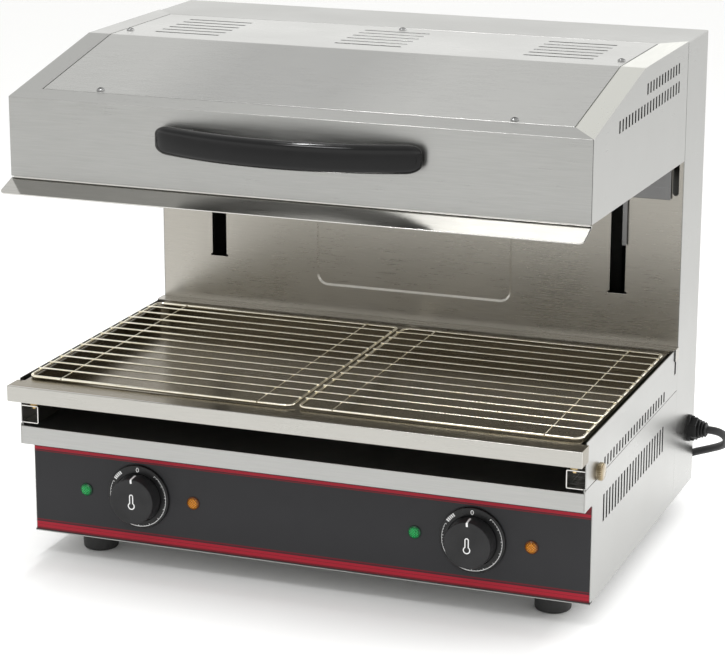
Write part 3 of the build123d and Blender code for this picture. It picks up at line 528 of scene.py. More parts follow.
# -------- folded casings
# Base, deck, side rails, ledge, column and covers: 1.2 mm stainless sheet with a brushed
# face, cut, punched and folded, and joined by hooked tabs and spot welds.
slot_row_half = 0.15
fascia_y, hem_z, hem_half = -0.168, 0.0289, 0.0009
hood_face_y, hood_low_z = -0.2029, 0.38


def normal_xyz(tree, kind="Normal"):
    """X, Y and Z of the surface's normal."""
    return split_xyz(tree, add_node(tree, "NewGeometry").outputs[kind])


grain, entry, exit_ = new_group(
    "brushed_grain", {"Along": 6.0, "Across": 900.0, "Sideways": 0.0}, ("Height", "Tone", "Marks", "Painted_Shade")
)
place = add_node(grain, "TexCoord").outputs["Object"]
x, y, z = split_xyz(grain, place)
along, across, sideways = (entry.outputs[label] for label in ("Along", "Across", "Sideways"))
lines = add_node(grain, "CombineXYZ", {
    0: product(grain, x, remap(grain, sideways, 0.0, 1.0, along, across)),
    1: product(grain, y, remap(grain, sideways, 0.0, 1.0, across, along)),
    2: product(grain, z, across),
}).outputs[0]
scratches = add_node(grain, "TexNoise", {"Vector": lines, "Scale": 1.0, "Detail": 3.0})
streaks = add_node(grain, "TexNoise", {"Vector": lines, "Scale": 0.7, "Detail": 3.0})
wiped = add_node(grain, "TexNoise", {"Vector": place, "Scale": 9.0, "Detail": 5.0})
grain.links.new(scratches.outputs[0], exit_.inputs["Height"])
grain.links.new(streaks.outputs[0], exit_.inputs["Tone"])
grain.links.new(wiped.outputs[0], exit_.inputs["Marks"])

# Painted shade: near-black lines painted where shade falls, on the cut faces of the side slots, along the
# hem under the fascia and at the hood's front corners.
from_middle = maths(grain, "ABSOLUTE", x)
end_on = remap(grain, maths(grain, "ABSOLUTE", normal_xyz(grain)["Y"]), 0.3, 0.6)
in_wall = maths(grain, "GREATER_THAN", from_middle, wall_x - 0.0015)
in_row = maths(grain, "LESS_THAN", maths(grain, "ABSOLUTE", y), slot_row_half)
at_hem = maths(grain, "LESS_THAN", maths(grain, "ABSOLUTE", maths(grain, "SUBTRACT", z, hem_z)), hem_half)
in_front = maths(grain, "LESS_THAN", y, fascia_y)
at_corner = maths(grain, "GREATER_THAN", from_middle, wall_x - 0.0009)
on_face = maths(grain, "LESS_THAN", y, hood_face_y)
on_hood = maths(grain, "GREATER_THAN", z, hood_low_z)
shaded = maths(grain, "MAXIMUM", product(grain, end_on, in_wall, in_row), product(grain, in_front, at_hem))
shaded = maths(grain, "MAXIMUM", shaded, product(grain, at_corner, on_face, on_hood))
grain.links.new(shaded, exit_.inputs["Painted_Shade"])


def brushed(
    name, colour, roughness, relief=0.13, stretch=0.35, turned_where=None, wear_and_painted_tone=None, painted_tone_where=None
):
    """Brushed stainless sheet.  Its grain runs left to right, and front to back on side walls."""
    along, across = 50.0, 1500.0
    material, tree, shader = new_finish(
        name, Metallic=1.0, Anisotropic=stretch, Anisotropic_Rotation=0.25
    )
    lines = use_group(tree, grain, {"Along": along, "Across": across})
    sideways = remap(tree, maths(tree, "ABSOLUTE", normal_xyz(tree)["X"]), 0.6, 0.8)
    if turned_where:
        sideways = maths(tree, "MAXIMUM", sideways, turned_where(tree))
    tree.links.new(sideways, lines[0].node.inputs["Sideways"])
    tone = remap(tree, lines["Tone"], 0.3, 0.7)
    dark = tuple(0.92 * c for c in colour[:3]) + (1,)
    face = blend_colours(tree, tone, dark, colour)
    # Painted light: where the mask is set, the face takes the painted tone colour, as a painted highlight or
    # painted shade.
    if wear_and_painted_tone:
        face = blend_colours(tree, painted_tone_where(tree), face, wear_and_painted_tone)
    gloss = maths(tree, "ADD", lines["Tone"], product(tree, lines["Marks"], 0.8))
    direction = add_node(
        tree, "Mix", {0: sideways, 4: (1, 0, 0), 5: (0, 1, 0)}, data_type="VECTOR"
    )
    # The base colour goes near black where the grain group's painted-shade mask is set.
    feed(
        tree,
        shader,
        Base_Color=blend_colours(tree, lines["Painted_Shade"], face, (0.05, 0.05, 0.05, 1)),
        Roughness=remap(tree, gloss, 0.6, 1.2, roughness - 0.05, roughness + 0.05),
        Tangent=direction.outputs[1],
    )
    emboss(tree, shader, lines["Height"], relief, 0.00003)
    return material


def dress(finish, *names):
    """Gives CAD nodes a finish."""
    for name in names:
        for slot in nodes[name].material_slots:
            slot.material = finish


def ease_edges(width, *names, fold=40):
    """Rounds cut edges and folds sharper than a fold angle, and keeps the flats flat."""
    for name in names:
        weld = nodes[name].modifiers.new("weld", "WELD")
        weld.merge_threshold = 0.000002
        merge = nodes[name].modifiers.new("merge", "DECIMATE")
        merge.decimate_type = "DISSOLVE"
        merge.angle_limit = radians(0.3)
        bevel = nodes[name].modifiers.new("edges", "BEVEL")
        bevel.width = width
        bevel.segments = 2
        bevel.limit_method = "ANGLE"
        bevel.angle_limit = radians(fold)
        bevel.use_clamp_overlap = False
        flats = nodes[name].modifiers.new("flats", "WEIGHTED_NORMAL")
        flats.keep_sharp = False


steel_colour = (0.415, 0.415, 0.403, 1)
casing_steel = brushed("casing_steel", steel_colour, 0.32)
casings = (
    "base_shell", "base_front", "deck", "side_rail_left", "side_rail_right", "rear_ledge",
    "column_front", "column_shell", "rear_cover",
)
dress(casing_steel, *casings)


def upward_edge(tree):
    """Mask of edges that face up, such as the lower edge of the column's pressed panel, which take a painted
    highlight.
    """
    return remap(tree, normal_xyz(tree, "True Normal")["Z"], 0.2, 0.4)


dress(brushed("warm_steel", (0.43, 0.41, 0.37, 1), 0.28), "rear_ledge")
# Painted highlight: edges that face up, such as the lower edge of the pressed panel, are painted pale and
# made less metallic.
column_steel = brushed(
    "column_steel",
    (0.42, 0.40, 0.36, 1),
    0.30,
    relief=0.08,
    wear_and_painted_tone=(0.80, 0.78, 0.73, 1),
    painted_tone_where=upward_edge,
)
tree = column_steel.node_tree
feed(tree, tree.nodes["Principled BSDF"], Metallic=remap(tree, upward_edge(tree), 0.0, 1.0, 1.0, 0.2))
dress(column_steel, "column_front")
ease_edges(0.0003, *(name for name in casings if name != "column_front"))
ease_edges(0.0002, "column_front", fold=20)

# -------- control fascia
# Printed film on the front plate: charcoal ground with a double red band along its top and
# its bottom edge.
film, tree, shader = new_finish("fascia_film", Specular_IOR_Level=0.25)
low, top = (corner.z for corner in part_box("control_fascia"))
bands = add_node(tree, "ValToRGB", {0: remap(tree, object_xyz(tree)["Z"], low, top)})
bands.color_ramp.interpolation = "CONSTANT"
charcoal = (0.020, 0.020, 0.022, 1)
maroon = (0.045, 0.008, 0.014, 1)
red = (0.30, 0.005, 0.018, 1)
deep_red = (0.125, 0.004, 0.010, 1)
stops = [
    # height above the fascia's lower edge, colour from there up
    (0.0, deep_red), (0.0018, red), (0.0048, deep_red), (0.0053, red), (0.0082, maroon),
    (0.0098, deep_red), (0.0110, charcoal), (0.0853, deep_red), (0.0865, maroon), (0.0872, red),
    (0.0904, maroon), (0.0912, deep_red),
]
for index, (above, colour) in enumerate(stops):
    spot = above / (top - low)
    stop = bands.color_ramp.elements[index] if index < 2 else bands.color_ramp.elements.new(spot)
    stop.position = spot
    stop.color = colour
dust = use_group(tree, stipple, {"Fineness": 2500.0})
feed(tree, shader, Base_Color=bands.outputs[0], Roughness=remap(tree, dust["Tone"], 0.3, 0.7, 0.38, 0.48))
emboss(tree, shader, dust["Height"], 0.1, 0.00005)
dress(film, "control_fascia")

# -------- runners and their screws
# C-section runners, folded from bright sheet, each held by two yellow-passivated screws.
runner_steel = brushed("runner_steel", (0.70, 0.69, 0.66, 1), 0.25)
dress(runner_steel, "runner_left", "runner_right")
ease_edges(0.0003, "runner_left", "runner_right")


def cross_head_screw(name, heads, radius, tall, finish, body, replaced):
    """Pan-head screws with a cross recess.  heads pairs each seat with the axis it points along."""
    profile = [(-0.0040, 0.5 * radius), (0.0, 0.5 * radius), (0.00001, radius), (0.3 * tall, radius)]
    profile += [(0.3 * tall + 0.7 * tall * sin(a), radius * cos(a)) for a in (0.3, 0.6, 0.9, 1.2, 1.5)]
    head = bpy.data.objects.new(name, skin(name, [turned(profile, (0, 0, 0), (0, 0, 1), 32)], 35))
    cross = bmesh.new()
    for wide, deep in ((1.25, 0.30), (0.30, 1.25)):
        arm = bmesh.ops.create_cube(cross, size=1)["verts"]
        bmesh.ops.scale(cross, vec=(wide * radius, deep * radius, tall), verts=arm)
        bmesh.ops.translate(cross, vec=(0, 0, tall), verts=arm)
    cutter = bpy.data.objects.new("cross", bpy.data.meshes.new("cross"))
    cross.to_mesh(cutter.data)
    cross.free()
    for thing in (head, cutter):
        scene_objects.link(thing)
    recess = head.modifiers.new("recess", "BOOLEAN")
    recess.object = cutter
    recess.use_self = True
    bpy.context.view_layer.update()
    cut = bpy.data.meshes.new_from_object(head.evaluated_get(bpy.context.evaluated_depsgraph_get()))
    for thing in (head, cutter):
        bpy.data.objects.remove(thing)
    row = bmesh.new()
    for turn, (seat, axis) in enumerate(heads):
        before = len(row.verts)
        row.from_mesh(cut)
        added = list(row.verts)[before:]
        tilt = Vector((0, 0, 1)).rotation_difference(Vector(axis)).to_matrix().to_4x4()
        where = Matrix.Translation(seat) @ tilt @ Matrix.Rotation(0.7 + 1.1 * turn, 4, "Z")
        bmesh.ops.transform(row, matrix=where, verts=added)
    mesh = bpy.data.meshes.new(name)
    row.to_mesh(mesh)
    row.free()
    mesh.shade_smooth()
    mesh.set_sharp_from_angle(angle=radians(30))
    return add_piece(name, mesh, finish, body, replaced)


def plated_metal(name, darker_tone, bright, roughness, fineness=900.0):
    """Plated or bare small metal parts, with patches of duller plating."""
    return stippled(name, darker_tone, bright, roughness, 0.06, fineness, 0.2, 0.00005, Metallic=1.0)


yellow_zinc = plated_metal("yellow_zinc", (0.42, 0.27, 0.10, 1), (0.72, 0.56, 0.30, 1), 0.30)
runner_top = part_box("runner_left")[1].z
runner_screw_x, runner_screw_rows = 0.287, (-0.194, 0.110)
cross_head_screw(
    "runner_screw_heads",
    [((side * runner_screw_x, y, runner_top), (0, 0, 1)) for side in (-1, 1) for y in runner_screw_rows],
    0.0048,
    0.0024,
    yellow_zinc,
    "root",
    ["runner_screws"],
)

# -------- side pegs
# Turned brass pegs with a knurled rim, chromed, one riveted in each side rail.
peg_metal = plated_metal("peg_metal", (0.24, 0.17, 0.08, 1), (0.58, 0.53, 0.42, 1), 0.20)
peg_y, peg_z = -0.158, 0.159
peg_radius, peg_length = 0.009, 0.006
knurl_sides = 112
peg_profile = [(0.0, 0.0078), (0.0008, 0.0078), (0.0012, peg_radius), (0.0046, peg_radius)]
peg_profile += [(0.0052, 0.0082), (peg_length - 0.0002, 0.0080), (peg_length, 0.0076)]


def peg(side):
    """One peg.  Every fourth point of its rim is pressed in, which makes the knurl."""
    seat = Vector((side * wall_x, peg_y, peg_z))
    rings, looped = turned(peg_profile, seat, (side, 0, 0), knurl_sides)
    for ring in rings[2:4]:
        for i in range(0, knurl_sides, 4):
            out = ring[i] - seat
            ring[i] = seat + Vector((out.x, 0.92 * out.y, 0.92 * out.z))
    return rings, looped


add_piece("pegs", [peg(-1), peg(1)], peg_metal, "root", ["side_pegs"])

# -------- rear cover screws
# Six pan-head screws hold the rear cover to the column's folded flanges.
cover_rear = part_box("rear_cover")[1].y
cover_screw_x, cover_screw_rows = 0.288, (0.046, 0.276, 0.508)
zinc = plated_metal("bright_zinc", (0.20, 0.20, 0.20, 1), (0.40, 0.40, 0.40, 1), 0.22)
cross_head_screw(
    "rear_screw_heads",
    [((side * cover_screw_x, cover_rear, z), (0, 1, 0)) for side in (-1, 1) for z in cover_screw_rows],
    0.0040,
    0.0010,
    zinc,
    "root",
    ["rear_cover_screws"],
)

# -------- lift guides
# Two ground steel rods stand in cast end blocks behind the column's slots.  A cast carriage
# runs on each, and a close-wound tension spring carries the hood's weight.
ground_steel = plated_metal("ground_steel", (0.60, 0.60, 0.60, 1), (0.72, 0.72, 0.73, 1), 0.14, 300.0)
casting = plated_metal("cast_aluminium", (0.30, 0.30, 0.31, 1), (0.44, 0.44, 0.45, 1), 0.50, 500.0)
for side in ("left", "right"):
    dress(ground_steel, f"guide_rod_{side}", f"knob_shaft_{side}")
    dress(casting, f"rod_holders_{side}", f"carriage_{side}")
    ease_edges(0.0004, f"rod_holders_{side}", f"carriage_{side}")


def tube(path, radius, sides=10, looped=False):
    """Shell of a wire along a path of points, with its section carried along without twist."""
    spots = [Vector(spot) for spot in path]
    last = len(spots) - 1
    heading = []
    for i, spot in enumerate(spots):
        before = spots[i - 1] if i or looped else spot
        after = spots[(i + 1) % len(spots)] if i < last or looped else spot
        heading.append((after - before).normalized())
    across = heading[0].orthogonal().normalized()
    rings = []
    for spot, ahead in zip(spots, heading):
        across = (across - ahead * across.dot(ahead)).normalized()
        up = ahead.cross(across)
        turns = [2 * pi * (i + 0.5) / sides for i in range(sides)]
        rings.append([spot + radius * (cos(a) * across + sin(a) * up) for a in turns])
    return rings, looped


spring_wire = 0.0008
spring_turns = 38
turn_points = 16
spring_steel = plated_metal("spring_steel", (0.28, 0.28, 0.29, 1), (0.48, 0.48, 0.50, 1), 0.30, 700.0)
for side in ("left", "right"):
    spring_low, spring_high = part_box(f"lift_spring_{side}")
    axis_x, axis_y = (spring_low.x + spring_high.x) / 2, (spring_low.y + spring_high.y) / 2
    mean_radius = (spring_high.x - spring_low.x) / 2 - spring_wire
    count = spring_turns * turn_points
    helix = []
    for i in range(count + 1):
        angle = 2 * pi * i / turn_points
        rise = spring_wire + (spring_high.z - spring_low.z - 2 * spring_wire) * i / count
        helix.append((
            axis_x + mean_radius * cos(angle), axis_y + mean_radius * sin(angle), spring_low.z + rise
        ))
    coils = skin(f"spring_{side}", [tube(helix, spring_wire, 8)], 35)
    spring = bpy.data.objects.new(f"spring_{side}", coils)
    scene_objects.link(spring)
    spring.data.materials.append(spring_steel)
    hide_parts(f"lift_spring_{side}")
    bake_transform(spring)

# -------- hood
# Folded stainless casing with mitred flanges round an inset louvred cover.  The flanges at
# the sides are part of the side panels, so their grain runs front to back.
cover_low, cover_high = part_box("hood_cover")
hood_front, hood_edge = -0.2035, 0.491
hood_break, hood_top = -0.023, 0.528


def side_flange(tree):
    """Mask of the two flanges that belong to the side panels, out to the mitred corners."""
    x, y = object_xyz(tree)[:2]
    out = maths(tree, "SUBTRACT", maths(tree, "ABSOLUTE", x), cover_high.x)
    ahead = maths(tree, "SUBTRACT", cover_low.y, y)
    behind = maths(tree, "SUBTRACT", y, cover_high.y)
    corner = maths(tree, "MAXIMUM", maths(tree, "MAXIMUM", ahead, behind), 0.0)
    return maths(tree, "GREATER_THAN", out, corner)


def right_flange(tree):
    """Mask of the right flange's upper face, which takes a painted highlight."""
    right = maths(tree, "GREATER_THAN", object_xyz(tree)["X"], 0.0)
    upper = maths(tree, "LESS_THAN", maths(tree, "ABSOLUTE", normal_xyz(tree)["X"]), 0.5)
    return product(tree, side_flange(tree), right, upper)


def cover_shade(tree):
    """Mask of painted shade on the cover: its louvres, and less so the middle of its slope."""
    across, ahead = object_xyz(tree)[:2]
    on_slope = remap(tree, ahead, hood_break + 0.003, hood_break - 0.003)
    middle = maths(tree, "ABSOLUTE", maths(tree, "ADD", across, 0.04))
    darker_tone = product(tree, on_slope, remap(tree, middle, 0.06, 0.15, 0.34, 0.0))
    louvre = remap(tree, normal_xyz(tree)["Z"], 0.97, 0.90)
    in_roof = remap(tree, ahead, hood_break + 0.015, hood_break + 0.025)
    return maths(tree, "MAXIMUM", darker_tone, product(tree, louvre, in_roof))


# Painted highlight: the right flange's upper face is painted paler than the rest.
hood_steel = brushed(
    "hood_steel",
    steel_colour,
    0.32,
    turned_where=side_flange,
    wear_and_painted_tone=(0.66, 0.66, 0.62, 1),
    painted_tone_where=right_flange,
)
# Painted shade: the cover's louvres and the middle of its slope are painted darker.
cover_steel = brushed(
    "cover_steel", (0.50, 0.50, 0.487, 1), 0.30, wear_and_painted_tone=(0.20, 0.20, 0.20, 1), painted_tone_where=cover_shade
)
dress(hood_steel, "hood_shell")
dress(cover_steel, "hood_cover", "hood_back", "lift_arm_left", "lift_arm_right")
ease_edges(0.0004, "hood_shell", "hood_cover", "hood_back", "lift_arm_left", "lift_arm_right", fold=9)

slope = atan2(hood_top - hood_edge, hood_break - hood_front)
sloped = (0, -sin(slope), cos(slope))
hood_screws = []
for x, y in ((-0.214, -0.1715), (0.214, -0.1715), (-0.267, 0.0085), (0.267, 0.0085), (0, 0.114)):
    on_slope = y < hood_break
    z = hood_edge + (y - hood_front) * tan(slope) if on_slope else hood_top
    hood_screws.append(((x, y, z), sloped if on_slope else (0, 0, 1)))
cross_head_screw("hood_screw_heads", hood_screws, 0.0040, 0.0024, zinc, "hood", ["hood_cover_screws"])

# -------- heat deflector and heaters
# Polished deflector under the hood's front edge, aluminised reflector and two tubular
# elements in loops, carried by spot-welded hangers.
mirror = brushed("mirror_steel", (0.58, 0.57, 0.545, 1), 0.09, relief=0.04, stretch=0.2)
dress(mirror, "deflector")
ease_edges(0.0003, "deflector")
dress(brushed("aluminised_steel", (0.40, 0.38, 0.34, 1), 0.42, relief=0.15), "reflector", "heater_hangers")
ease_edges(0.0003, "reflector")

heater_z = 0.440
heater_radius = 0.004
heater_x = 0.040
heater_bend = 0.028
heater_front, heater_rear, heater_end = -0.130, 0.085, 0.147
bend_steps = 12
element = plated_metal("heater_sheath", (0.045, 0.040, 0.036, 1), (0.11, 0.09, 0.075, 1), 0.48, 500.0)
for name, side in (("left", -1), ("right", 1)):
    route = [(side * heater_x, heater_end, heater_z)]
    for leg in range(3):
        middle = side * (heater_x + heater_bend * (2 * leg + 1))
        ahead = -1 if leg % 2 == 0 else 1
        turn_y = heater_front if ahead < 0 else heater_rear
        for step in range(bend_steps + 1):
            angle = pi * step / bend_steps
            route.append((
                middle - side * heater_bend * cos(angle), turn_y + ahead * heater_bend * sin(angle), heater_z
            ))
    route.append((side * (heater_x + 6 * heater_bend), heater_end, heater_z))
    coil = [tube(route, heater_radius, 20)]
    add_piece(f"element_{name}", coil, element, "hood", [f"heater_{name}"])

# -------- handle
# Moulded bow handle in glossy black plastic, screwed through the hood's front on two pads.
handle_z = 0.4615
handle_half = 0.136
bow_end, bow_apex = -0.2093, -0.2390
handle_tall, handle_thick = 0.028, 0.013
bow_rise = bow_end - bow_apex
bow_radius = (handle_half ** 2 + bow_rise ** 2) / (2 * bow_rise)
bow_centre_y = bow_apex + bow_radius
bow_angle = asin(handle_half / bow_radius)
handle_steps = 64
tip_length = 0.016

gloss_black = moulded(
    "gloss_black", (0.003, 0.003, 0.0033), 0.11, relief=0.02, fineness=1200.0, Specular_IOR_Level=0.30
)
grip_rings = []
for step in range(handle_steps + 1):
    share = -cos(pi * step / handle_steps)
    angle = bow_angle * share
    from_tip = bow_radius * (bow_angle - abs(angle))
    fullness = min(1.0, from_tip / tip_length)
    round_off = max(0.02, (1 - (1 - fullness) ** 2) ** 0.5)
    tall = handle_tall * (0.42 + 0.58 * round_off)
    thick = handle_thick * (0.30 + 0.70 * round_off)
    outline = rounded_box(thick, tall, 0.42 * thick, 5)
    ring = []
    for a, b in outline:
        crown = -0.0010 * (2 * b / handle_tall) ** 2
        depth = bow_radius + a + (crown if a > 0 else 0)
        ring.append((depth * sin(angle), bow_centre_y - depth * cos(angle), handle_z + b))
    grip_rings.append(ring)
pad_sections = [
    # place, middle, width, height
    (hood_front, 0.1130, 0.0420, 0.0215),
    (-0.2060, 0.1140, 0.0400, 0.0210),
    (-0.2110, 0.1155, 0.0360, 0.0205),
    (-0.2170, 0.1170, 0.0320, 0.0195),
]
pads = []
for side in (-1, 1):
    rings = []
    for y, middle, wide, tall in pad_sections:
        outline = rounded_box(wide, tall, 0.49 * tall, 8)
        rings.append([(side * middle + a, y, handle_z + b) for a, b in outline])
    pads.append((rings, False))
handle_shells = [(grip_rings, False)] + pads
add_piece("bow_handle", handle_shells, gloss_black, "hood", ["handle"], 50)

# -------- dials
# Each dial is a moulded disc with a printed scale, and a hollow knob on the thermostat's
# shaft with a printed pointer and thermometer sign.
dial_x, dial_z = 0.180, 0.079
disc_face, panel_y = (corner.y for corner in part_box("dial_bezel_left"))
knob_low, knob_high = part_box("knob_left")
knob_back, knob_face = knob_high.y, knob_low.y + 0.0035
disc_radius, knob_radius = 0.034, 0.025
print_depth = 0.00008
pointer_half, pointer_lift = 0.0010, 0.00012
scale_radius = 0.0312
scale_start, scale_end = radians(38), radians(298)
scale_steps, tick_count = 72, 45

disc_black = moulded("dial_black", (0.009, 0.009, 0.0095, 1), 0.30, relief=0.08, Specular_IOR_Level=0.3)
knob_grey = moulded(
    "knob_black", (0.019, 0.019, 0.020), 0.46, relief=0.25, fineness=2600.0, Specular_IOR_Level=0.25
)
ink, tree, shader = new_finish("white_ink", Roughness=0.5)
wear = use_group(tree, stipple, {"Fineness": 3000.0})
greys = (0.66, 0.66, 0.66, 1), (0.90, 0.90, 0.90, 1)
feed(tree, shader, Base_Color=blend_colours(tree, wear["Tone"], *greys))


def dial_point(centre_x, y, clock, radius):
    """Point on a dial's face, with its angle measured clockwise from twelve o'clock."""
    return (centre_x + radius * sin(clock), y, dial_z + radius * cos(clock))


def printed(centre_x, y, stations):
    """Thin printed strip.  Each station has two edge points, given as clock angle and radius."""
    rings = []
    for (clock_a, radius_a), (clock_b, radius_b) in stations:
        rings.append([
            dial_point(centre_x, y, clock_a, radius_a),
            dial_point(centre_x, y, clock_b, radius_b),
            dial_point(centre_x, y - print_depth, clock_b, radius_b),
            dial_point(centre_x, y - print_depth, clock_a, radius_a),
        ])
    return rings, False


def printed_ring(centre_x, y, middle_z, wide, tall, line, count=32):
    """Printed oval outline round a point on the dial's upright centre line."""
    rings = []
    for i in range(count):
        angle = 2 * pi * i / count
        ring = []
        half = line / 2
        for grow, depth in ((-half, 0), (half, 0), (half, print_depth), (-half, print_depth)):
            ring.append((
                centre_x + (wide / 2 + grow) * cos(angle),
                y - depth,
                dial_z + middle_z + (tall / 2 + grow) * sin(angle),
            ))
        rings.append(ring)
    return rings, True


def scale_marks(centre_x, y):
    """Nought, index block, and a band that swells to the bottom, with ticks beside it."""
    marks = [printed_ring(centre_x, y, 0.0292, 0.0026, 0.0042, 0.0007)]
    for bar in range(5):
        clock = radians(-46 + 4.0 * (bar - 2))
        marks.append(printed(centre_x, y, [
            ((clock - 0.024, r), (clock + 0.024, r)) for r in (0.0290, 0.0325)
        ]))
    band = []
    for step in range(scale_steps + 1):
        share = step / scale_steps
        clock = scale_start + (scale_end - scale_start) * share
        half = 0.00014 + 0.00016 * sin(pi * share) ** 2
        band.append(((clock, scale_radius - half), (clock, scale_radius + half)))
    marks.append(printed(centre_x, y, band))
    for tick in range(tick_count):
        clock = scale_start + (scale_end - scale_start) * tick / (tick_count - 1)
        long = 0.0016 if tick % 4 == 0 else 0.0008
        marks.append(printed(centre_x, y, [
            ((clock - 0.009, r), (clock + 0.009, r)) for r in (scale_radius - long, scale_radius)
        ]))
    return marks


def thermometer(centre_x, y):
    """Outline of a thermometer: a narrow stem with a round bulb below it."""
    stem, bulb, line = 0.0017, 0.0033, 0.0011
    middle, top = -0.0045, 0.0058
    path = []
    opening = asin(stem / bulb)
    for step in range(25):
        angle = opening + (2 * pi - 2 * opening) * step / 24
        path.append((bulb * sin(angle), middle + bulb * cos(angle)))
    for step in range(9):
        angle = pi * step / 8
        path.append((-stem * cos(angle), top + stem * sin(angle)))
    rings = []
    for i, (a, b) in enumerate(path):
        before, after = path[i - 1], path[(i + 1) % len(path)]
        along = Vector((after[0] - before[0], after[1] - before[1])).normalized() * line / 2
        inner = (centre_x + a - along.y, dial_z + b + along.x)
        outer = (centre_x + a + along.y, dial_z + b - along.x)
        rings.append([
            (inner[0], y, inner[1]), (outer[0], y, outer[1]),
            (outer[0], y - print_depth, outer[1]), (inner[0], y - print_depth, inner[1]),
        ])
    return rings, True


for name, side in (("left", -1), ("right", 1)):
    centre = side * dial_x
    thick = panel_y - disc_face
    disc = [(0.0, disc_radius)] + rounded_edge(thick, disc_radius, 0.0012, 6)
    disc += [(thick, knob_radius + 0.0012), (thick - 0.0008, knob_radius + 0.0006), (thick - 0.0008, 0.0070)]
    add_piece(
        f"dial_disc_{name}",
        [turned(disc, (centre, panel_y, dial_z), (0, -1, 0), 96)],
        disc_black,
        "root",
        [f"dial_bezel_{name}"],
    )
    add_piece(f"dial_scale_{name}", scale_marks(centre, disc_face), ink, "root")
    depth = knob_back - knob_face
    profile = [(0.0040, 0.0070), (0.0, knob_radius - 0.0022), (0.0, knob_radius), (0.0030, knob_radius)]
    profile += rounded_edge(depth, knob_radius - 0.0010, 0.0014, 6)
    profile += [(depth, 0.021), (depth - 0.0003, 0.020), (depth - 0.0003, 0.002)]
    add_piece(
        f"knob_cap_{name}",
        [turned(profile, (centre, knob_back, dial_z), (0, -1, 0), 96)],
        knob_grey,
        f"{name}_dial",
        [f"knob_{name}"],
        40,
    )
    pointer = []
    rim = knob_radius - 0.0010
    for out, behind in (
        (0.0196, 0.0003), (0.0212, 0.0), (rim - 0.0014, 0.0), (rim - 0.0004, 0.0004),
        (rim, 0.0014), (rim + 0.0002, 0.0042), (rim + 0.0008, 0.0110),
    ):
        y = knob_face + behind
        low, high = dial_z + out - 0.0002, dial_z + out + pointer_lift
        left, right = centre - pointer_half, centre + pointer_half
        pointer.append([
            (left, y + 0.0003, low), (right, y + 0.0003, low),
            (right, y - pointer_lift, high), (left, y - pointer_lift, high),
        ])
    marks = [(pointer, False), thermometer(centre, knob_face + 0.0003)]
    add_piece(f"knob_print_{name}", marks, ink, f"{name}_dial")

# -------- pilot lamps
# Snap-in neon lamps: a flanged lens of tinted plastic with a cross-hatched dome.
lamp_z = 0.079
lens_radius, flange_radius, barrel_radius = 0.0062, 0.0070, 0.0056
flange_thick, dome_rise = 0.0012, 0.0031
hatch = 2 * pi / 0.0026
lens_rings, lens_turns = 20, 48
lens_glow = 0.28


def lamp_lens(centre_x):
    """Flange and hatched dome of one lamp."""
    profile = [(-0.0040, barrel_radius), (0.0, barrel_radius), (0.0001, flange_radius)]
    profile += rounded_edge(flange_thick, flange_radius, 0.0005) + [(flange_thick, lens_radius)]
    rings, looped = turned(profile, (centre_x, panel_y, lamp_z), (0, -1, 0), lens_turns)
    for step in range(lens_rings):
        share = 1 - (step + 0.5) / lens_rings
        ring = []
        for i in range(lens_turns):
            angle = 2 * pi * i / lens_turns
            u, v = lens_radius * share * cos(angle), lens_radius * share * sin(angle)
            dome = flange_thick + dome_rise * (1 - share ** 2)
            cut = 0.0005 * abs(sin(hatch * u / 2)) * abs(sin(hatch * v / 2)) - 0.0002
            ring.append((centre_x + u, panel_y - dome - cut, lamp_z + v))
        rings.append(ring)
    return rings, looped


def lens_plastic(name, deep, bright):
    """Tinted plastic that glows a little, darker at its flange, and with painted shade in the grooves of its
    hatch.
    """
    material, tree, shader = new_finish(
        name, Roughness=0.15, Specular_IOR_Level=0.3, Emission_Strength=lens_glow
    )
    across, back, up = object_xyz(tree)
    flange = remap(tree, back, panel_y - 0.0034, panel_y - 0.0012)
    speck = use_group(tree, stipple, {"Fineness": 500.0})
    waves = [product(tree, maths(tree, way, across, up), hatch / 2) for way in ("ADD", "SUBTRACT")]
    lattice = maths(tree, "MINIMUM", *(maths(tree, "ABSOLUTE", maths(tree, "SINE", wave)) for wave in waves))
    # Painted shade in the grooves of the hatch.
    groove = product(
        tree, remap(tree, lattice, 0.25, 0.65, 1.0, 0.0), remap(tree, speck["Height"], 0.3, 0.7, 0.7, 1.3)
    )
    mask = maths(tree, "MAXIMUM", flange, groove)
    colour = blend_colours(tree, mask, bright, deep)
    feed(tree, shader, Base_Color=colour, Emission_Color=colour)
    return material


green_lens = lens_plastic("green_lens", (0.0, 0.020, 0.008, 1), (0.010, 0.36, 0.08, 1))
orange_lens = lens_plastic("orange_lens", (0.050, 0.012, 0.0, 1), (0.64, 0.23, 0.012, 1))
for kind, spots, slot_name, finish in (
    ("power", (-0.240, 0.1195), "lamp_green", green_lens),
    ("hot", (-0.1195, 0.240), "lamp_orange", orange_lens),
):
    lenses = [lamp_lens(x) for x in spots]
    add_piece(f"{kind}_lenses", lenses, finish, "root", [f"{kind}_lamps"], 60)

# -------- thermostats and terminals
# Capillary thermostats behind the dials, and a screw terminal block on the base's floor.
dress(moulded("phenolic", (0.05, 0.045, 0.04), 0.5), "thermostat_left", "thermostat_right")
dress(moulded("terminal_nylon", (0.62, 0.60, 0.52, 1), 0.45), "terminal_block")
ease_edges(0.0003, "thermostat_left", "thermostat_right", "terminal_block")

# -------- grill pan
# Pressed stainless drip pan with a folded rim, and a deep folded lip at the front to pull it by.
pan_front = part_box("grill_pan")[0].y


def inside_pan(tree):
    """Mask of the pan behind its front lip, where painted shade makes the steel darker and browner."""
    return remap(tree, object_xyz(tree)["Y"], pan_front + 0.0015, pan_front + 0.003)


# Painted shade: behind its lip the pan is painted darker and browner.
pan_steel = brushed(
    "pan_steel", (0.47, 0.46, 0.43, 1), 0.24, wear_and_painted_tone=(0.19, 0.165, 0.12, 1), painted_tone_where=inside_pan
)
dress(pan_steel, "grill_pan")
ease_edges(0.0004, "grill_pan")

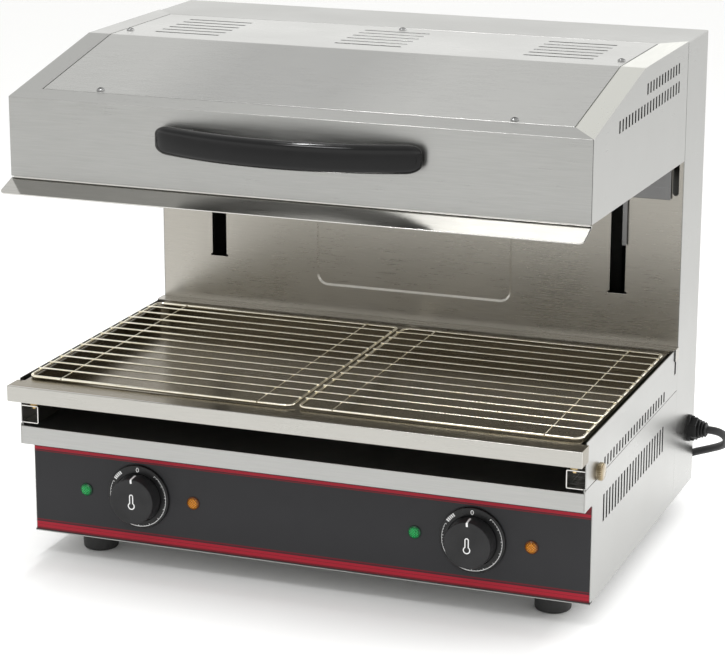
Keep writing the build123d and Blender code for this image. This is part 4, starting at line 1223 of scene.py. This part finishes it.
# -------- wire grids
# Two nickel-plated grids: a bent frame wire, twelve bars welded across it and two cross
# wires below.
wire_z = 0.2005
frame_wire, bar_wire, cross_wire = 0.0017, 0.0011, 0.0008
weld = 0.0006
grid_inner, grid_outer = 0.004, 0.292
grid_front, grid_rear = -0.1925, 0.1168
grid_corner = 0.008
bar_count, bar_overhang, bar_tip = 12, 0.0012, 0.0004
cross_spots = (0.040, 0.256)
plated_wire = plated_metal("nickel_wire", (0.84, 0.78, 0.62, 1), (0.99, 0.95, 0.84, 1), 0.20, 400.0)
for name, side in (("left", -1), ("right", 1)):
    wide, deep = grid_outer - grid_inner, grid_rear - grid_front
    middle = (side * (grid_inner + grid_outer) / 2, (grid_front + grid_rear) / 2)
    loop = [(middle[0] + a, middle[1] + b, wire_z) for a, b in rounded_box(wide, deep, grid_corner, 8)]
    shells = [tube(loop, frame_wire, 16, True)]
    bar_z = wire_z + frame_wire + bar_wire - weld
    cross_z = bar_z - bar_wire - cross_wire + weld
    ends = (side * (grid_inner - frame_wire), side * (grid_outer + frame_wire + bar_overhang))
    for bar in range(bar_count):
        y = grid_front + deep * (bar + 1) / (bar_count + 1)
        tips = [ends[0], ends[0] + side * bar_tip, ends[1] - side * bar_tip, ends[1]]
        shells.append(tube([(x, y, bar_z) for x in tips], bar_wire, 12))
    for x in cross_spots:
        line = [(side * x, y, cross_z) for y in (grid_front - frame_wire, grid_rear + frame_wire)]
        shells.append(tube(line, cross_wire, 12))
    add_piece(f"wire_grid_{name}", shells, plated_wire, f"{name}_grid", [f"grid_{name}"])

# -------- feet
# Black rubber feet, tapered, with a rounded lower edge, bolted through the base's floor.
foot_spots = [(x, y) for x in (-0.249, 0.249) for y in (-0.1265, 0.190)]
foot_tall = 0.027
foot_rubber = moulded("foot_rubber", (0.016, 0.016, 0.016, 1), 0.60, relief=0.3)
foot_profile = [(0.0, 0.0110), (0.0, 0.0165), (0.0004, 0.0174), (0.0014, 0.0181), (0.0030, 0.0184)]
foot_profile += [(0.0210, 0.0190), (0.0215, 0.0194), (0.0222, 0.0200), (foot_tall - 0.0005, 0.0200)]
foot_profile += [(foot_tall - 0.00005, 0.0195)]
foot_shells = [turned(foot_profile, (x, y, 0), (0, 0, 1), 64) for x, y in foot_spots]
add_piece("rubber_feet", foot_shells, foot_rubber, "root", ["feet"])
dress(zinc, "foot_bolts")
